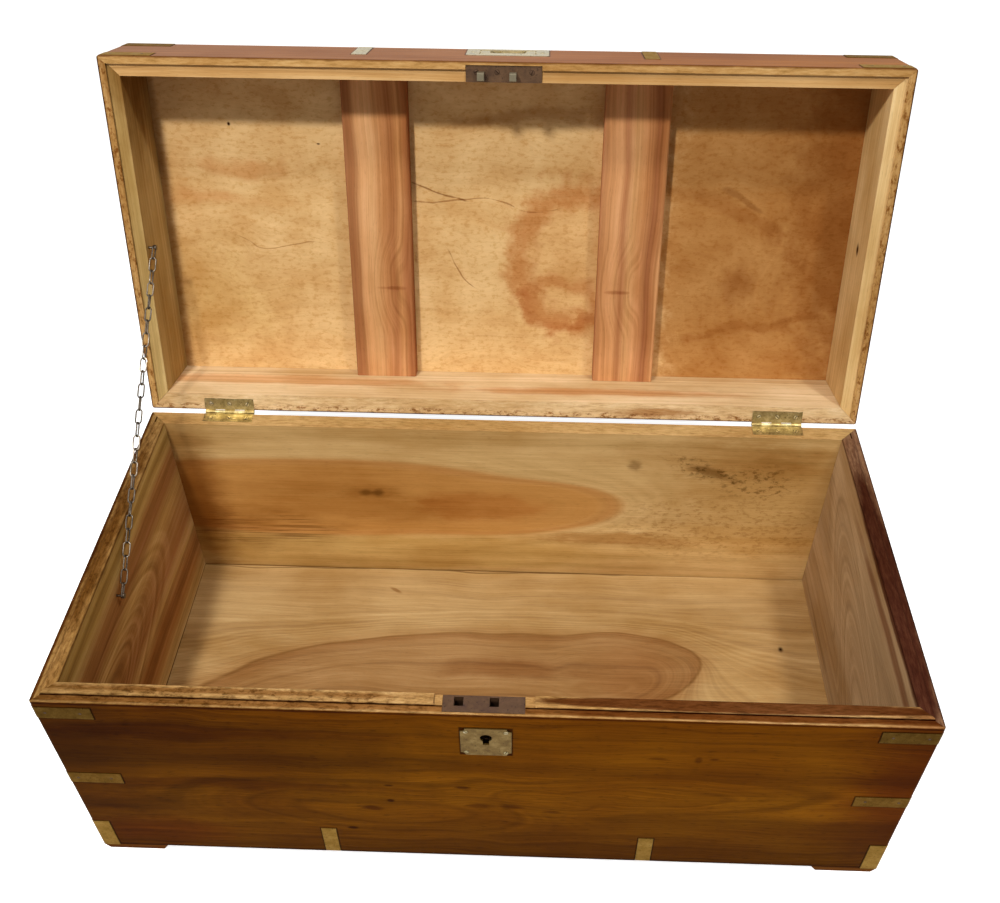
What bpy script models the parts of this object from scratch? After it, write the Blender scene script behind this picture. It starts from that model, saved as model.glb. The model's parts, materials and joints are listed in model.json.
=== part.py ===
import math

import bmesh
import bpy
from mathutils import Matrix, Vector

for item in list(bpy.data.objects):
    bpy.data.objects.remove(item, do_unlink=True)

# Camphor wood trunk, lid open and held by its stay chain. Metres, +Z up, front towards -Y.
# Side pieces are drawn in the coordinates of their side: x along it, d inwards from its outer face, z up.
# Heights are counted from the rim of the base. The lid is drawn closed and then turned open.

# Driving sizes
WIDTH = 0.914
DEPTH = 0.440
BASE_HEIGHT = 0.297
LID_HEIGHT = 0.097
BOARD = 0.0225
OPEN_ANGLE = math.radians(105)
GAP = 0.0003            # between pieces that touch
OVERRUN = 0.003         # how far a cutter passes through what it cuts
ARRIS = 0.0009          # eased edges of the boards
CORNER_RADIUS = 0.0036  # upright corners of the case
EDGE_RADIUS = 0.0022    # top edges of the lid

# Case
BOTTOM_THICKNESS = 0.020
FOOT_HEIGHT = 0.009
FOOT_LENGTH = 0.0765
FOOT_DEPTH = 0.052
FOOT_INSET = 0.0005
FOOT_CHAMFER = 0.006
LEDGE_WIDTH = 0.0088    # outer strip of the base rim
LIP_HEIGHT = 0.0035     # inner strip that stands up into the lid
LIP_CLEARANCE = 0.0007
LIP_CHAMFER = 0.0008
LIP_STOP = 0.0012       # the side lips stop this far before the back board
RIM_GAP = 0.0008        # between the closed rims

# Lid
PANEL_THICKNESS = 0.010
PANEL_REBATE = 0.010    # wood of the frame that shows around the panel
BATTEN_WIDTH = 0.079
BATTEN_THICKNESS = 0.019
BATTEN_CHAMFER = 0.0015
BATTEN_INSET = 0.299    # of a batten's middle from the end of the lid

# Brass straps
STRAP_WIDTH = 0.019
STRAP_LEG = 0.060
STRAP_THICKNESS = 0.0014
STRAP_PROUD = 0.0005
BASE_STRAP_DROP = 0.0185   # middle of the top straps below the rim
MIDDLE_STRAP_DROP = 0.1445
LID_STRAP_LIFT = 0.0125    # middle of the straps by the lid's rim, above it
BASE_EDGE_INSET = 0.275    # of the two upright straps on the front of the base, from its ends
LID_EDGE_INSET = 0.289     # and of those on the front of the lid
EDGE_STRAP_WIDTH = 0.017
EDGE_FOOT = 0.019          # the short leg of an upright strap, round the edge
UPRIGHT_LEG = 0.055        # height of the straps at the foot of the case
UPRIGHT_WIDTH = 0.0205     # of the corner ones among them, on each face

# Hinges
HINGE_LENGTH = 0.0635
HINGE_INSET = 0.102     # of a hinge's middle from the end of the trunk
HINGE_LEAF = 0.0160
LEAF_THICKNESS = 0.0018
KNUCKLES = 5
KNUCKLE_RADIUS = 0.0023
KNUCKLE_SIDES = 20
HINGE_OUT = KNUCKLE_RADIUS + GAP
PIN_RADIUS = 0.0011
PIN_PROUD = 0.0007
PIN_CROWN = 0.0005

# Lock
LOCK_LENGTH = 0.083
LOCK_PLATE = 0.0020
LOCK_FRONT = 0.0030        # wood left in front of the top plate
LOCK_CASE_HALF = 0.0405
LOCK_CASE_DROP = 0.060
LOCK_CASE_FRONT = 0.0060   # wood in front of the case
LOCK_WALL = 0.0012
LOCK_INNER_WALL = 0.0015
STAPLE_PLACES = (-0.0256, 0.0104)
STAPLE_DEPTH = 0.0154      # middle of the staples behind the front face
STAPLE_WIDTH = 0.0076
STAPLE_SPAN = 0.0092
STAPLE_REACH = 0.0125
STAPLE_BAR = 0.0021
STAPLE_PLATE_LENGTH = 0.0852
STAPLE_PLATE_WIDTH = 0.0183
STAPLE_PLATE_THICKNESS = 0.0022
STAPLE_PLATE_SINK = 0.0018  # of the plate's face above the closed rim
HOLE_WIDTH = 0.0096
HOLE_SPAN = 0.0106
LIP_NOTCH = 0.102
LIP_NOTCH_PLACE = 0.0005
BOLT_TRAVEL = 0.0064
BOLT_THICKNESS = 0.0046
BOLT_BAR_TOP = 0.0200
BOLT_BAR_HEIGHT = 0.0075
BOLT_NECK = 0.0022
BOLT_FINGER_HEIGHT = 0.0050
BOLT_TALON = 0.0036        # notch that the key's bit pushes in
GUIDE_THICKNESS = 0.0030
GUIDE_OPENING = 0.022
KEY_PLACE = 0.0021
KEY_DROP = 0.0404
KEY_RADIUS = 0.0062
KEY_SLOT_WIDTH = 0.0065
KEY_SLOT_DROP = 0.0123
KEY_SIDES = 20
PLATE_WIDTH = 0.0525
PLATE_HEIGHT = 0.0488
PLATE_DROP = 0.0482
PLATE_THICKNESS = 0.0018
PLATE_PROUD = 0.0009
PLATE_SCALLOP = 0.0050
SCALLOP_STEPS = 5

# Flush handles: plate, cup and swinging bail. The lid has a pull, the ends have carrying handles.
PULL = dict(
    width=0.096, height=0.048, cup_width=0.066, cup_height=0.032, cup_depth=0.0080,
    arm=0.0112, grip=0.0080, bail_thickness=0.0034, place=0.0021, rise=0.0700,
)
HANDLE = dict(
    width=0.122, height=0.066, cup_width=0.092, cup_height=0.046, cup_depth=0.0130,
    arm=0.0120, grip=0.0120, bail_thickness=0.0056, place=0, rise=-0.105,
)
TRAY_THICKNESS = 0.0016
TRAY_PROUD = 0.0004
TRAY_CHAMFER = 0.0030
CUP_WALL = 0.0014
CUP_RADIUS = 0.0040
BAIL_CLEARANCE = 0.0005
BAIL_SETBACK = 0.0003       # of the bail's face behind the plate's face
BAIL_EASE = 0.0007
TRUNNION_RADIUS = 0.0012
TRUNNION_LENGTH = 0.0009
BAIL_RADIUS = 0.0045
BAIL_SHOULDER = 0.0022
ARC_STEPS = 4

# Stay chain
CHAIN_OFF_WALL = 0.0067
CHAIN_WIRE = 0.0009         # radius
LINK_WIDTH = 0.0090
LINK_COUNT = 27
LOWER_LINKS = 13
LINK_FUSE = 0.00022         # neighbouring links of one run run into each other by this much
LINK_ARC_STEPS = 4
LINK_SIDES = 6
OPEN_PIVOT_GAP = 0.0010
SCREW_SHANK = 0.0014        # radius
SCREW_PLAY = 0.0003
SCREW_HEAD = 0.0036         # radius
SCREW_HEAD_RISE = 0.0018
SCREW_HOLD = 0.0120
SCREW_SIDES = 14
BASE_EYE = (-0.2635, -0.0503)   # y from the back face, z from the rim
LID_EYE = (-0.2139, 0.0131)     # the same, on the closed lid

# Places that follow from the sizes
RIM_Z = FOOT_HEIGHT + GAP + BASE_HEIGHT
AXIS_Z = RIM_GAP / 2
LID_BOTTOM = RIM_GAP
LID_TOP = LID_BOTTOM + LID_HEIGHT
PANEL_BOTTOM = LID_TOP - PANEL_THICKNESS
LID_REBATE = LID_BOTTOM + LIP_HEIGHT
HALF_WIDTH = WIDTH / 2
HALF_DEPTH = DEPTH / 2
FRONT_REACH = DEPTH + PLATE_PROUD
LID_LEAN = (DEPTH + HINGE_OUT + STRAP_PROUD) * -math.cos(OPEN_ANGLE)
LID_BACK = (LID_TOP + STRAP_PROUD - AXIS_Z) * math.sin(OPEN_ANGLE)
BACK_REACH = HINGE_OUT + LID_LEAN + LID_BACK
BACK_Y = (FRONT_REACH - BACK_REACH) / 2


# Materials
def material(name, colour, roughness, metallic=0.0):
    made = bpy.data.materials.new(name)
    made.use_nodes = True
    shader = made.node_tree.nodes["Principled BSDF"]
    shader.inputs["Base Color"].default_value = (*colour, 1.0)
    shader.inputs["Roughness"].default_value = roughness
    shader.inputs["Metallic"].default_value = metallic
    return made


POLISHED_CAMPHOR = material("polished_camphor", (0.20, 0.085, 0.014), 0.35)
PLAIN_CAMPHOR = material("plain_camphor", (0.46, 0.28, 0.12), 0.6)
RED_CAMPHOR = material("red_camphor", (0.36, 0.14, 0.07), 0.55)
AGED_BRASS = material("aged_brass", (0.30, 0.20, 0.06), 0.4, 1.0)
BRIGHT_BRASS = material("bright_brass", (0.55, 0.42, 0.16), 0.3, 1.0)
LOCK_IRON = material("lock_iron", (0.11, 0.065, 0.045), 0.55, 0.8)
CHAIN_STEEL = material("chain_steel", (0.17, 0.14, 0.11), 0.4, 1.0)


# Placing: an empty for the base, at the back of its rim, and one for the lid, on the hinge axis
def empty(name, location, angle=0.0):
    made = bpy.data.objects.new(name, None)
    made.location = location
    made.rotation_euler = (angle, 0, 0)
    bpy.context.scene.collection.objects.link(made)
    return made


BASE_FRAME = empty("base_frame", (0, BACK_Y, RIM_Z))
LID_FRAME = empty("lid_frame", (0, BACK_Y + HINGE_OUT, RIM_Z + AXIS_Z), -OPEN_ANGLE)

# Each side: the turn of its own coordinates, and the middle of its outer face from the back of the rim
SIDES = {
    "front": (0.0, Vector((0, -DEPTH, 0)), HALF_WIDTH),
    "right": (math.pi / 2, Vector((HALF_WIDTH, -HALF_DEPTH, 0)), HALF_DEPTH),
    "back": (math.pi, Vector((0, 0, 0)), HALF_WIDTH),
    "left": (-math.pi / 2, Vector((-HALF_WIDTH, -HALF_DEPTH, 0)), HALF_DEPTH),
}
END = {"left": -1, "right": 1}


def frame_shift(on_lid):
    # a point of the closed trunk, seen from the frame's empty
    return Vector((0, -HINGE_OUT, -AXIS_Z)) if on_lid else Vector((0, 0, 0))


def finish(name, bm, finish_material, on_lid=False, side=None, origin=(0, 0, 0), smooth=None):
    # origin is a point in the mesh's own coordinates that becomes the object's origin
    bmesh.ops.recalc_face_normals(bm, faces=bm.faces)
    bmesh.ops.translate(bm, vec=-Vector(origin), verts=bm.verts)
    mesh = bpy.data.meshes.new(name)
    bm.to_mesh(mesh)
    bm.free()
    made = bpy.data.objects.new(name, mesh)
    bpy.context.scene.collection.objects.link(made)
    turn, middle, _ = SIDES[side] if side else (0.0, Vector((0, 0, 0)), 0)
    made.parent = LID_FRAME if on_lid else BASE_FRAME
    made.location = frame_shift(on_lid) + middle + Matrix.Rotation(turn, 3, "Z") @ Vector(origin)
    made.rotation_euler = (0, 0, turn)
    if finish_material:
        mesh.materials.append(finish_material)
    else:
        made.hide_render = True
        made.display_type = "WIRE"
    if smooth:
        mesh.shade_smooth()
        mesh.set_sharp_from_angle(angle=smooth)
    return made


def cut(made, *cutters, operation="DIFFERENCE"):
    for cutter in cutters:
        modifier = made.modifiers.new(cutter.name, "BOOLEAN")
        modifier.operation = operation
        modifier.solver = "EXACT"
        modifier.object = cutter


# Shapes
def add_prism(bm, outline, low, high, axis="Z"):
    # an outline in the plane across the axis, drawn out from low to high along it
    place = {
        "Z": lambda a, b, h: (a, b, h),
        "Y": lambda a, b, h: (a, h, b),
        "X": lambda a, b, h: (h, a, b),
    }[axis]
    first = [bm.verts.new(place(a, b, low)) for a, b in outline]
    last = [bm.verts.new(place(a, b, high)) for a, b in outline]
    bm.faces.new(first[::-1])
    bm.faces.new(last)
    count = len(outline)
    for i in range(count):
        j = (i + 1) % count
        bm.faces.new((first[i], first[j], last[j], last[i]))
    return first + last


def prism(outline, low, high, axis="Z"):
    bm = bmesh.new()
    add_prism(bm, outline, low, high, axis)
    return bm


def add_rod(bm, centre, radius, low, high, sides, crown=0.0, axis="X"):
    # a round rod along X or Y; crown draws each end in to a small dome
    rings = [(low, radius - crown), (low + crown, radius), (high - crown, radius), (high, radius - crown)]
    if not crown:
        rings = [(low, radius), (high, radius)]
    loops = []
    for along, size in rings:
        loop = []
        for k in range(sides):
            angle = 2 * math.pi * k / sides
            a = centre[0] + size * math.cos(angle)
            b = centre[1] + size * math.sin(angle)
            loop.append(bm.verts.new((along, a, b) if axis == "X" else (a, along, b)))
        loops.append(loop)
    bm.faces.new(loops[0][::-1])
    bm.faces.new(loops[-1])
    for low_loop, high_loop in zip(loops, loops[1:]):
        for k in range(sides):
            n = (k + 1) % sides
            bm.faces.new((low_loop[k], low_loop[n], high_loop[n], high_loop[k]))


def box_outline(left, right, low, high, chamfer=0.0):
    if not chamfer:
        return [(left, low), (right, low), (right, high), (left, high)]
    return [
        (left + chamfer, low), (right - chamfer, low), (right, low + chamfer), (right, high - chamfer),
        (right - chamfer, high), (left + chamfer, high), (left, high - chamfer), (left, low + chamfer),
    ]


def arc(centre, radius, start, end, steps):
    # points from one angle to the other, in degrees
    points = []
    for k in range(steps + 1):
        angle = math.radians(start + (end - start) * k / steps)
        points.append((centre[0] + radius * math.cos(angle), centre[1] + radius * math.sin(angle)))
    return points


def rounded_outline(left, right, low, high, radius, steps=ARC_STEPS):
    return (
        arc((right - radius, low + radius), radius, -90, 0, steps)
        + arc((right - radius, high - radius), radius, 0, 90, steps)
        + arc((left + radius, high - radius), radius, 90, 180, steps)
        + arc((left + radius, low + radius), radius, 180, 270, steps)
    )


def mitred_board(profile, half_length):
    # the profile (d, z) runs along the side, and its ends are cut at 45 degrees
    bm = bmesh.new()
    ends = []
    for side in (-1, 1):
        ends.append([bm.verts.new((side * (half_length - d - GAP / 2), d, z)) for d, z in profile])
    bm.faces.new(ends[0][::-1])
    bm.faces.new(ends[1])
    for i in range(len(profile)):
        j = (i + 1) % len(profile)
        bm.faces.new((ends[0][i], ends[0][j], ends[1][j], ends[1][i]))
    # the upright corner is rounded in flats that its neighbour continues
    for side in (-1, 1):
        for angle in (math.pi / 8, math.pi / 4):
            outward = Vector((side * math.sin(angle), -math.cos(angle), 0))
            centre = Vector((side * (half_length - CORNER_RADIUS), CORNER_RADIUS, 0))
            result = bmesh.ops.bisect_plane(
                bm, geom=bm.verts[:] + bm.edges[:] + bm.faces[:], dist=GAP / 100,
                plane_co=centre + outward * CORNER_RADIUS, plane_no=outward, clear_outer=True,
            )
            edges = [e for e in result["geom_cut"] if isinstance(e, bmesh.types.BMEdge)]
            bmesh.ops.contextual_create(bm, geom=edges)
    return bm


# Case of the base
LIP_FACE = LEDGE_WIDTH + LIP_CLEARANCE
OUTER_EDGE = [(ARRIS, -BASE_HEIGHT), (0, -BASE_HEIGHT + ARRIS), (0, -ARRIS), (ARRIS, 0)]
RIM_PROFILE = OUTER_EDGE + [
    (LIP_FACE, 0), (LIP_FACE, LIP_HEIGHT - LIP_CHAMFER), (LIP_FACE + LIP_CHAMFER, LIP_HEIGHT),
    (BOARD - LIP_CHAMFER, LIP_HEIGHT), (BOARD, LIP_HEIGHT - LIP_CHAMFER), (BOARD, -BASE_HEIGHT),
]
FLAT_PROFILE = OUTER_EDGE + [(BOARD, 0), (BOARD, -BASE_HEIGHT)]
boards = {}
for side, (_, _, half) in SIDES.items():
    profile = FLAT_PROFILE if side == "back" else RIM_PROFILE
    boards[side] = finish(f"base_{side}_board", mitred_board(profile, half), POLISHED_CAMPHOR, side=side)

# the side lips stop short of the back board's flat rim
lip_end = HALF_DEPTH - BOARD - LIP_STOP
for side in END:
    far = box_outline(lip_end, HALF_DEPTH + OVERRUN, LEDGE_WIDTH, BOARD + OVERRUN)
    near = [(END[side] * a, b) for a, b in far]
    stop = prism(near, -GAP / 2, LIP_HEIGHT + OVERRUN)
    cut(boards[side], finish(f"cut_lip_stop_{side}", stop, None, side=side))

inner_x = HALF_WIDTH - BOARD - GAP
inner_front = -DEPTH + BOARD + GAP
inner_back = -BOARD - GAP
floor_top = -BASE_HEIGHT + BOTTOM_THICKNESS
bottom = prism(box_outline(-inner_x, inner_x, inner_front, inner_back), -BASE_HEIGHT, floor_top)
finish("bottom_board", bottom, PLAIN_CAMPHOR)

foot_top = -BASE_HEIGHT - GAP
foot_bottom = foot_top - FOOT_HEIGHT
for depth_name, front in (("front", True), ("rear", False)):
    for side, sign in END.items():
        outer = HALF_WIDTH - FOOT_INSET
        inner = outer - FOOT_LENGTH
        outline = [
            (sign * outer, foot_top), (sign * inner, foot_top), (sign * (inner + FOOT_CHAMFER), foot_bottom),
            (sign * (outer - FOOT_CHAMFER), foot_bottom),
        ]
        near = -DEPTH + FOOT_INSET if front else -FOOT_INSET - FOOT_DEPTH
        foot = prism(outline, near, near + FOOT_DEPTH, axis="Y")
        finish(f"foot_{depth_name}_{side}", foot, POLISHED_CAMPHOR)


# Frame and panel of the lid
panel_seat = PANEL_BOTTOM - GAP
LID_PROFILE_TOP = [
    (BOARD, panel_seat), (PANEL_REBATE, panel_seat), (PANEL_REBATE, LID_TOP), (EDGE_RADIUS, LID_TOP),
    (EDGE_RADIUS / 4, LID_TOP - EDGE_RADIUS / 4), (0, LID_TOP - EDGE_RADIUS),
]
LID_REBATED = [
    (0, LID_BOTTOM + ARRIS), (ARRIS, LID_BOTTOM), (LEDGE_WIDTH, LID_BOTTOM), (LEDGE_WIDTH, LID_REBATE),
    (BOARD, LID_REBATE),
] + LID_PROFILE_TOP
LID_FLAT = [(0, LID_BOTTOM + ARRIS), (ARRIS, LID_BOTTOM), (BOARD, LID_BOTTOM)] + LID_PROFILE_TOP
lid_boards = {}
for side, (_, _, half) in SIDES.items():
    profile = LID_FLAT if side == "back" else LID_REBATED
    board = finish(f"lid_{side}_board", mitred_board(profile, half), POLISHED_CAMPHOR, on_lid=True, side=side)
    lid_boards[side] = board

panel_x = HALF_WIDTH - PANEL_REBATE - GAP
panel_front = -DEPTH + PANEL_REBATE + GAP
panel_back = -PANEL_REBATE - GAP
panel_bm = prism(box_outline(-panel_x, panel_x, panel_front, panel_back), PANEL_BOTTOM, LID_TOP)
panel = finish("lid_panel", panel_bm, PLAIN_CAMPHOR, on_lid=True)

batten_top = PANEL_BOTTOM - GAP
batten_bottom = batten_top - BATTEN_THICKNESS
for side, sign in END.items():
    left = sign * (HALF_WIDTH - BATTEN_INSET) - BATTEN_WIDTH / 2
    right = left + BATTEN_WIDTH
    outline = [
        (left, batten_top), (left, batten_bottom + BATTEN_CHAMFER), (left + BATTEN_CHAMFER, batten_bottom),
        (right - BATTEN_CHAMFER, batten_bottom), (right, batten_bottom + BATTEN_CHAMFER), (right, batten_top),
    ]
    batten = prism(outline, inner_front, inner_back, axis="Y")
    finish(f"lid_batten_{side}", batten, RED_CAMPHOR, on_lid=True)


# Brass straps: each follows the corner, is let into the wood and stands a little proud
def corner_path(leg, offset):
    # from the end of one leg round the corner to the end of the other; offset is outwards from the face
    radius = CORNER_RADIUS + offset
    bend = arc((CORNER_RADIUS, CORNER_RADIUS), radius, 270, 180, ARC_STEPS)
    return [(leg, -offset)] + bend + [(-offset, leg)]


def corner_outline(leg, outer, inner):
    return corner_path(leg, outer) + corner_path(leg, -inner)[::-1]


def at_corner(outline, side, front):
    # corner coordinates (u along the front or back, v along the end) to the plan of the trunk
    sign = END[side]
    return [(sign * (HALF_WIDTH - u), -DEPTH + v if front else -v) for u, v in outline]


def corner_strap(name, side, front, middle, height, leg, on_lid, targets):
    strap_in = STRAP_THICKNESS - STRAP_PROUD
    shape = at_corner(corner_outline(leg, STRAP_PROUD, strap_in), side, front)
    low, high = middle - height / 2, middle + height / 2
    strap = finish(name, prism(shape, low, high), AGED_BRASS, on_lid=on_lid, smooth=math.radians(30))
    seat_shape = at_corner(corner_outline(leg + GAP, OVERRUN, strap_in + GAP), side, front)
    seat = finish(f"cut_{name}", prism(seat_shape, low - GAP, high + GAP), None, on_lid=on_lid)
    for target in targets:
        cut(target, seat)
    return strap


# the middle of each strap above the rim, its height and the leg on each face
BASE_STRAPS = {
    "strap_top": (-BASE_STRAP_DROP, STRAP_WIDTH, STRAP_LEG),
    "strap_middle": (-MIDDLE_STRAP_DROP, STRAP_WIDTH, STRAP_LEG),
    "strap_bottom": (-BASE_HEIGHT + GAP + UPRIGHT_LEG / 2, UPRIGHT_LEG, UPRIGHT_WIDTH),
}
LID_STRAPS = {
    "lid_strap_rim": (LID_BOTTOM + LID_STRAP_LIFT, STRAP_WIDTH, STRAP_LEG),
    "lid_strap_top": (LID_TOP - EDGE_RADIUS - STRAP_WIDTH / 2, STRAP_WIDTH, STRAP_LEG),
}
for on_lid, straps, owners in ((False, BASE_STRAPS, boards), (True, LID_STRAPS, lid_boards)):
    for strap_name, (middle, height, leg) in straps.items():
        for depth_name, end_name in (("front", "front"), ("rear", "back")):
            for side in END:
                name = f"{strap_name}_{depth_name}_{side}"
                targets = (owners[end_name], owners[side])
                corner_strap(name, side, end_name == "front", middle, height, leg, on_lid, targets)


def edge_strap(name, place, edge, away, leg, on_lid, target):
    # an upright strap on the front: its long leg on the face, its short leg round the edge at height edge.
    # away is +1 where the long leg runs up from the edge and -1 where it runs down
    strap_in = STRAP_THICKNESS - STRAP_PROUD

    def outline(out, inside, extra):
        points = [
            (-out, leg + extra), (-out, EDGE_RADIUS), (EDGE_RADIUS, -out), (EDGE_FOOT + extra, -out),
            (EDGE_FOOT + extra, inside), (EDGE_RADIUS, inside), (inside, EDGE_RADIUS),
            (inside, leg + extra),
        ]
        return [(d, edge + away * rise) for d, rise in points]

    left, right = place - EDGE_STRAP_WIDTH / 2, place + EDGE_STRAP_WIDTH / 2
    strap = prism(outline(STRAP_PROUD, strap_in, 0), left, right, axis="X")
    finish(name, strap, AGED_BRASS, on_lid=on_lid, side="front")
    room = prism(outline(OVERRUN, strap_in + GAP, GAP), left - GAP, right + GAP, axis="X")
    seat = finish(f"cut_{name}", room, None, on_lid=on_lid, side="front")
    cut(target, seat)
    return seat


for side, sign in END.items():
    base_place = sign * (HALF_WIDTH - BASE_EDGE_INSET)
    lid_place = sign * (HALF_WIDTH - LID_EDGE_INSET)
    edge_strap(f"strap_edge_{side}", base_place, -BASE_HEIGHT, 1, UPRIGHT_LEG, False, boards["front"])
    seat = edge_strap(f"lid_strap_edge_{side}", lid_place, LID_TOP, -1, STRAP_LEG, True, lid_boards["front"])
    cut(panel, seat)


# Butt hinges: the lid's leaf has the odd knuckles and the base's leaf the even ones
knuckle_length = HINGE_LENGTH / KNUCKLES


def hinge_leaf(name, centre, on_lid, board):
    # in the trunk's plan; the barrel lies along X behind the back face
    left = centre - HINGE_LENGTH / 2
    low, high = (LID_BOTTOM, LID_BOTTOM + LEAF_THICKNESS) if on_lid else (-LEAF_THICKNESS, 0)
    mine = range(0, KNUCKLES, 2) if on_lid else range(1, KNUCKLES, 2)
    comb = [(left, -HINGE_LEAF), (left + HINGE_LENGTH, -HINGE_LEAF)]
    for k in reversed(range(KNUCKLES)):
        right_edge = left + (k + 1) * knuckle_length
        left_edge = left + k * knuckle_length
        if k in mine:
            reach = HINGE_OUT
            right_edge -= GAP / 2 if k < KNUCKLES - 1 else 0
            left_edge += GAP / 2 if k > 0 else 0
        else:
            reach = -GAP
            right_edge += GAP / 2 if k < KNUCKLES - 1 else 0
            left_edge -= GAP / 2 if k > 0 else 0
        comb += [(right_edge, reach), (left_edge, reach)]
    leaf = finish(name, prism(comb, low, high), BRIGHT_BRASS, on_lid=on_lid, smooth=math.radians(30))
    barrel = bmesh.new()
    for k in mine:
        start = left + k * knuckle_length + (GAP / 2 if k > 0 else 0)
        end = left + (k + 1) * knuckle_length - (GAP / 2 if k < KNUCKLES - 1 else 0)
        add_rod(barrel, (HINGE_OUT, AXIS_Z), KNUCKLE_RADIUS, start, end, KNUCKLE_SIDES)
    barrel_object = finish(f"cut_{name}_barrel", barrel, None, on_lid=on_lid)
    bore = bmesh.new()
    bore_end = left + HINGE_LENGTH + OVERRUN
    add_rod(bore, (HINGE_OUT, AXIS_Z), PIN_RADIUS + GAP, left - OVERRUN, bore_end, KNUCKLE_SIDES)
    bore_object = finish(f"cut_{name}_bore", bore, None, on_lid=on_lid)
    cut(leaf, barrel_object, operation="UNION")
    cut(leaf, bore_object)
    seat_outline = box_outline(left - GAP, left + HINGE_LENGTH + GAP, -HINGE_LEAF - GAP, OVERRUN)
    seat_low = low - OVERRUN if on_lid else low - GAP
    seat_high = high + GAP if on_lid else high + OVERRUN
    cut(board, finish(f"cut_{name}_seat", prism(seat_outline, seat_low, seat_high), None, on_lid=on_lid))


for side, sign in END.items():
    centre = sign * (HALF_WIDTH - HINGE_INSET)
    hinge_leaf(f"hinge_base_leaf_{side}", centre, False, boards["back"])
    hinge_leaf(f"hinge_lid_leaf_{side}", centre, True, lid_boards["back"])
    pin = bmesh.new()
    start = centre - HINGE_LENGTH / 2 - PIN_PROUD
    end = centre + HINGE_LENGTH / 2 + PIN_PROUD
    add_rod(pin, (HINGE_OUT, AXIS_Z), PIN_RADIUS, start, end, KNUCKLE_SIDES, PIN_CROWN)
    finish(f"hinge_pin_{side}", pin, BRIGHT_BRASS, smooth=math.radians(40))


# Lock: top plate with two staple holes, case, bolt and escutcheon, all drawn on the front side
def keyhole_outline(clearance=0.0):
    radius = KEY_RADIUS + clearance
    half = KEY_SLOT_WIDTH / 2 + clearance
    open_angle = math.degrees(math.asin(half / radius))
    head = arc((KEY_PLACE, -KEY_DROP), radius, -90 + open_angle, 270 - open_angle, KEY_SIDES)
    foot = -KEY_DROP - KEY_SLOT_DROP - clearance
    return head + [(KEY_PLACE - half, foot), (KEY_PLACE + half, foot)]


def front_cutter(name, outline, low, high, axis="Y", on_lid=False):
    return finish(f"cut_{name}", prism(outline, low, high, axis), None, on_lid=on_lid, side="front")


half_lock = LOCK_LENGTH / 2
bolt_back = STAPLE_DEPTH + BOLT_THICKNESS / 2
case_shape = box_outline(-LOCK_CASE_HALF, LOCK_CASE_HALF, -LOCK_CASE_DROP, -LOCK_PLATE / 2)
lock = finish("lock_case", prism(case_shape, LOCK_CASE_FRONT, BOARD, axis="Y"), LOCK_IRON, side="front")
top_plate = prism(box_outline(-half_lock, half_lock, LOCK_FRONT, BOARD), -LOCK_PLATE, 0)
cut(lock, finish("cut_lock_top_plate", top_plate, None, side="front"), operation="UNION")
room_half = LOCK_CASE_HALF - LOCK_WALL
room_front = LOCK_CASE_FRONT + LOCK_WALL
room_back = BOARD - LOCK_INNER_WALL
guide_top = -BOLT_BAR_TOP - BOLT_BAR_HEIGHT - GAP
guide_low = guide_top - GUIDE_THICKNESS
upper_shape = box_outline(-room_half, room_half, guide_top, -LOCK_PLATE)
upper_room = front_cutter("lock_upper_room", upper_shape, room_front, room_back)
lower_shape = box_outline(-room_half, room_half, -LOCK_CASE_DROP + LOCK_WALL, guide_low)
lower_room = front_cutter("lock_lower_room", lower_shape, room_front, room_back)
half_guide = GUIDE_OPENING / 2
window_shape = box_outline(KEY_PLACE - half_guide, KEY_PLACE + half_guide, guide_low - GAP, guide_top + GAP)
window = front_cutter("lock_guide_window", window_shape, room_front, room_back)
cut(lock, upper_room, lower_room, window)
half_hole, half_hole_span = HOLE_WIDTH / 2, HOLE_SPAN / 2
for k, place in enumerate(STAPLE_PLACES):
    hole = box_outline(
        place - half_hole, place + half_hole, STAPLE_DEPTH - half_hole_span, STAPLE_DEPTH + half_hole_span)
    cut(lock, front_cutter(f"staple_hole_{k + 1}", hole, -LOCK_PLATE - GAP, OVERRUN, axis="Z"))
cut(lock, front_cutter("case_keyhole", keyhole_outline(), LOCK_CASE_FRONT - OVERRUN, room_front + GAP))

lock_seat = front_cutter(
    "lock_seat", box_outline(-LOCK_CASE_HALF - GAP, LOCK_CASE_HALF + GAP, -LOCK_CASE_DROP - GAP, OVERRUN),
    LOCK_CASE_FRONT - GAP, BOARD + OVERRUN)
plate_seat = front_cutter(
    "lock_plate_seat", box_outline(-half_lock - GAP, half_lock + GAP, LOCK_FRONT - GAP, BOARD + OVERRUN),
    -LOCK_PLATE - GAP, LIP_HEIGHT + OVERRUN, axis="Z")
notch_left = LIP_NOTCH_PLACE - LIP_NOTCH / 2
notch_outline = box_outline(notch_left, notch_left + LIP_NOTCH, LEDGE_WIDTH, BOARD + OVERRUN)
lip_notch = front_cutter("lip_notch", notch_outline, -GAP / 2, LIP_HEIGHT + OVERRUN, axis="Z")
board_keyhole = front_cutter("board_keyhole", keyhole_outline(GAP), -OVERRUN, LOCK_CASE_FRONT + GAP)
cut(boards["front"], lip_notch, plate_seat, lock_seat, board_keyhole)

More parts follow.
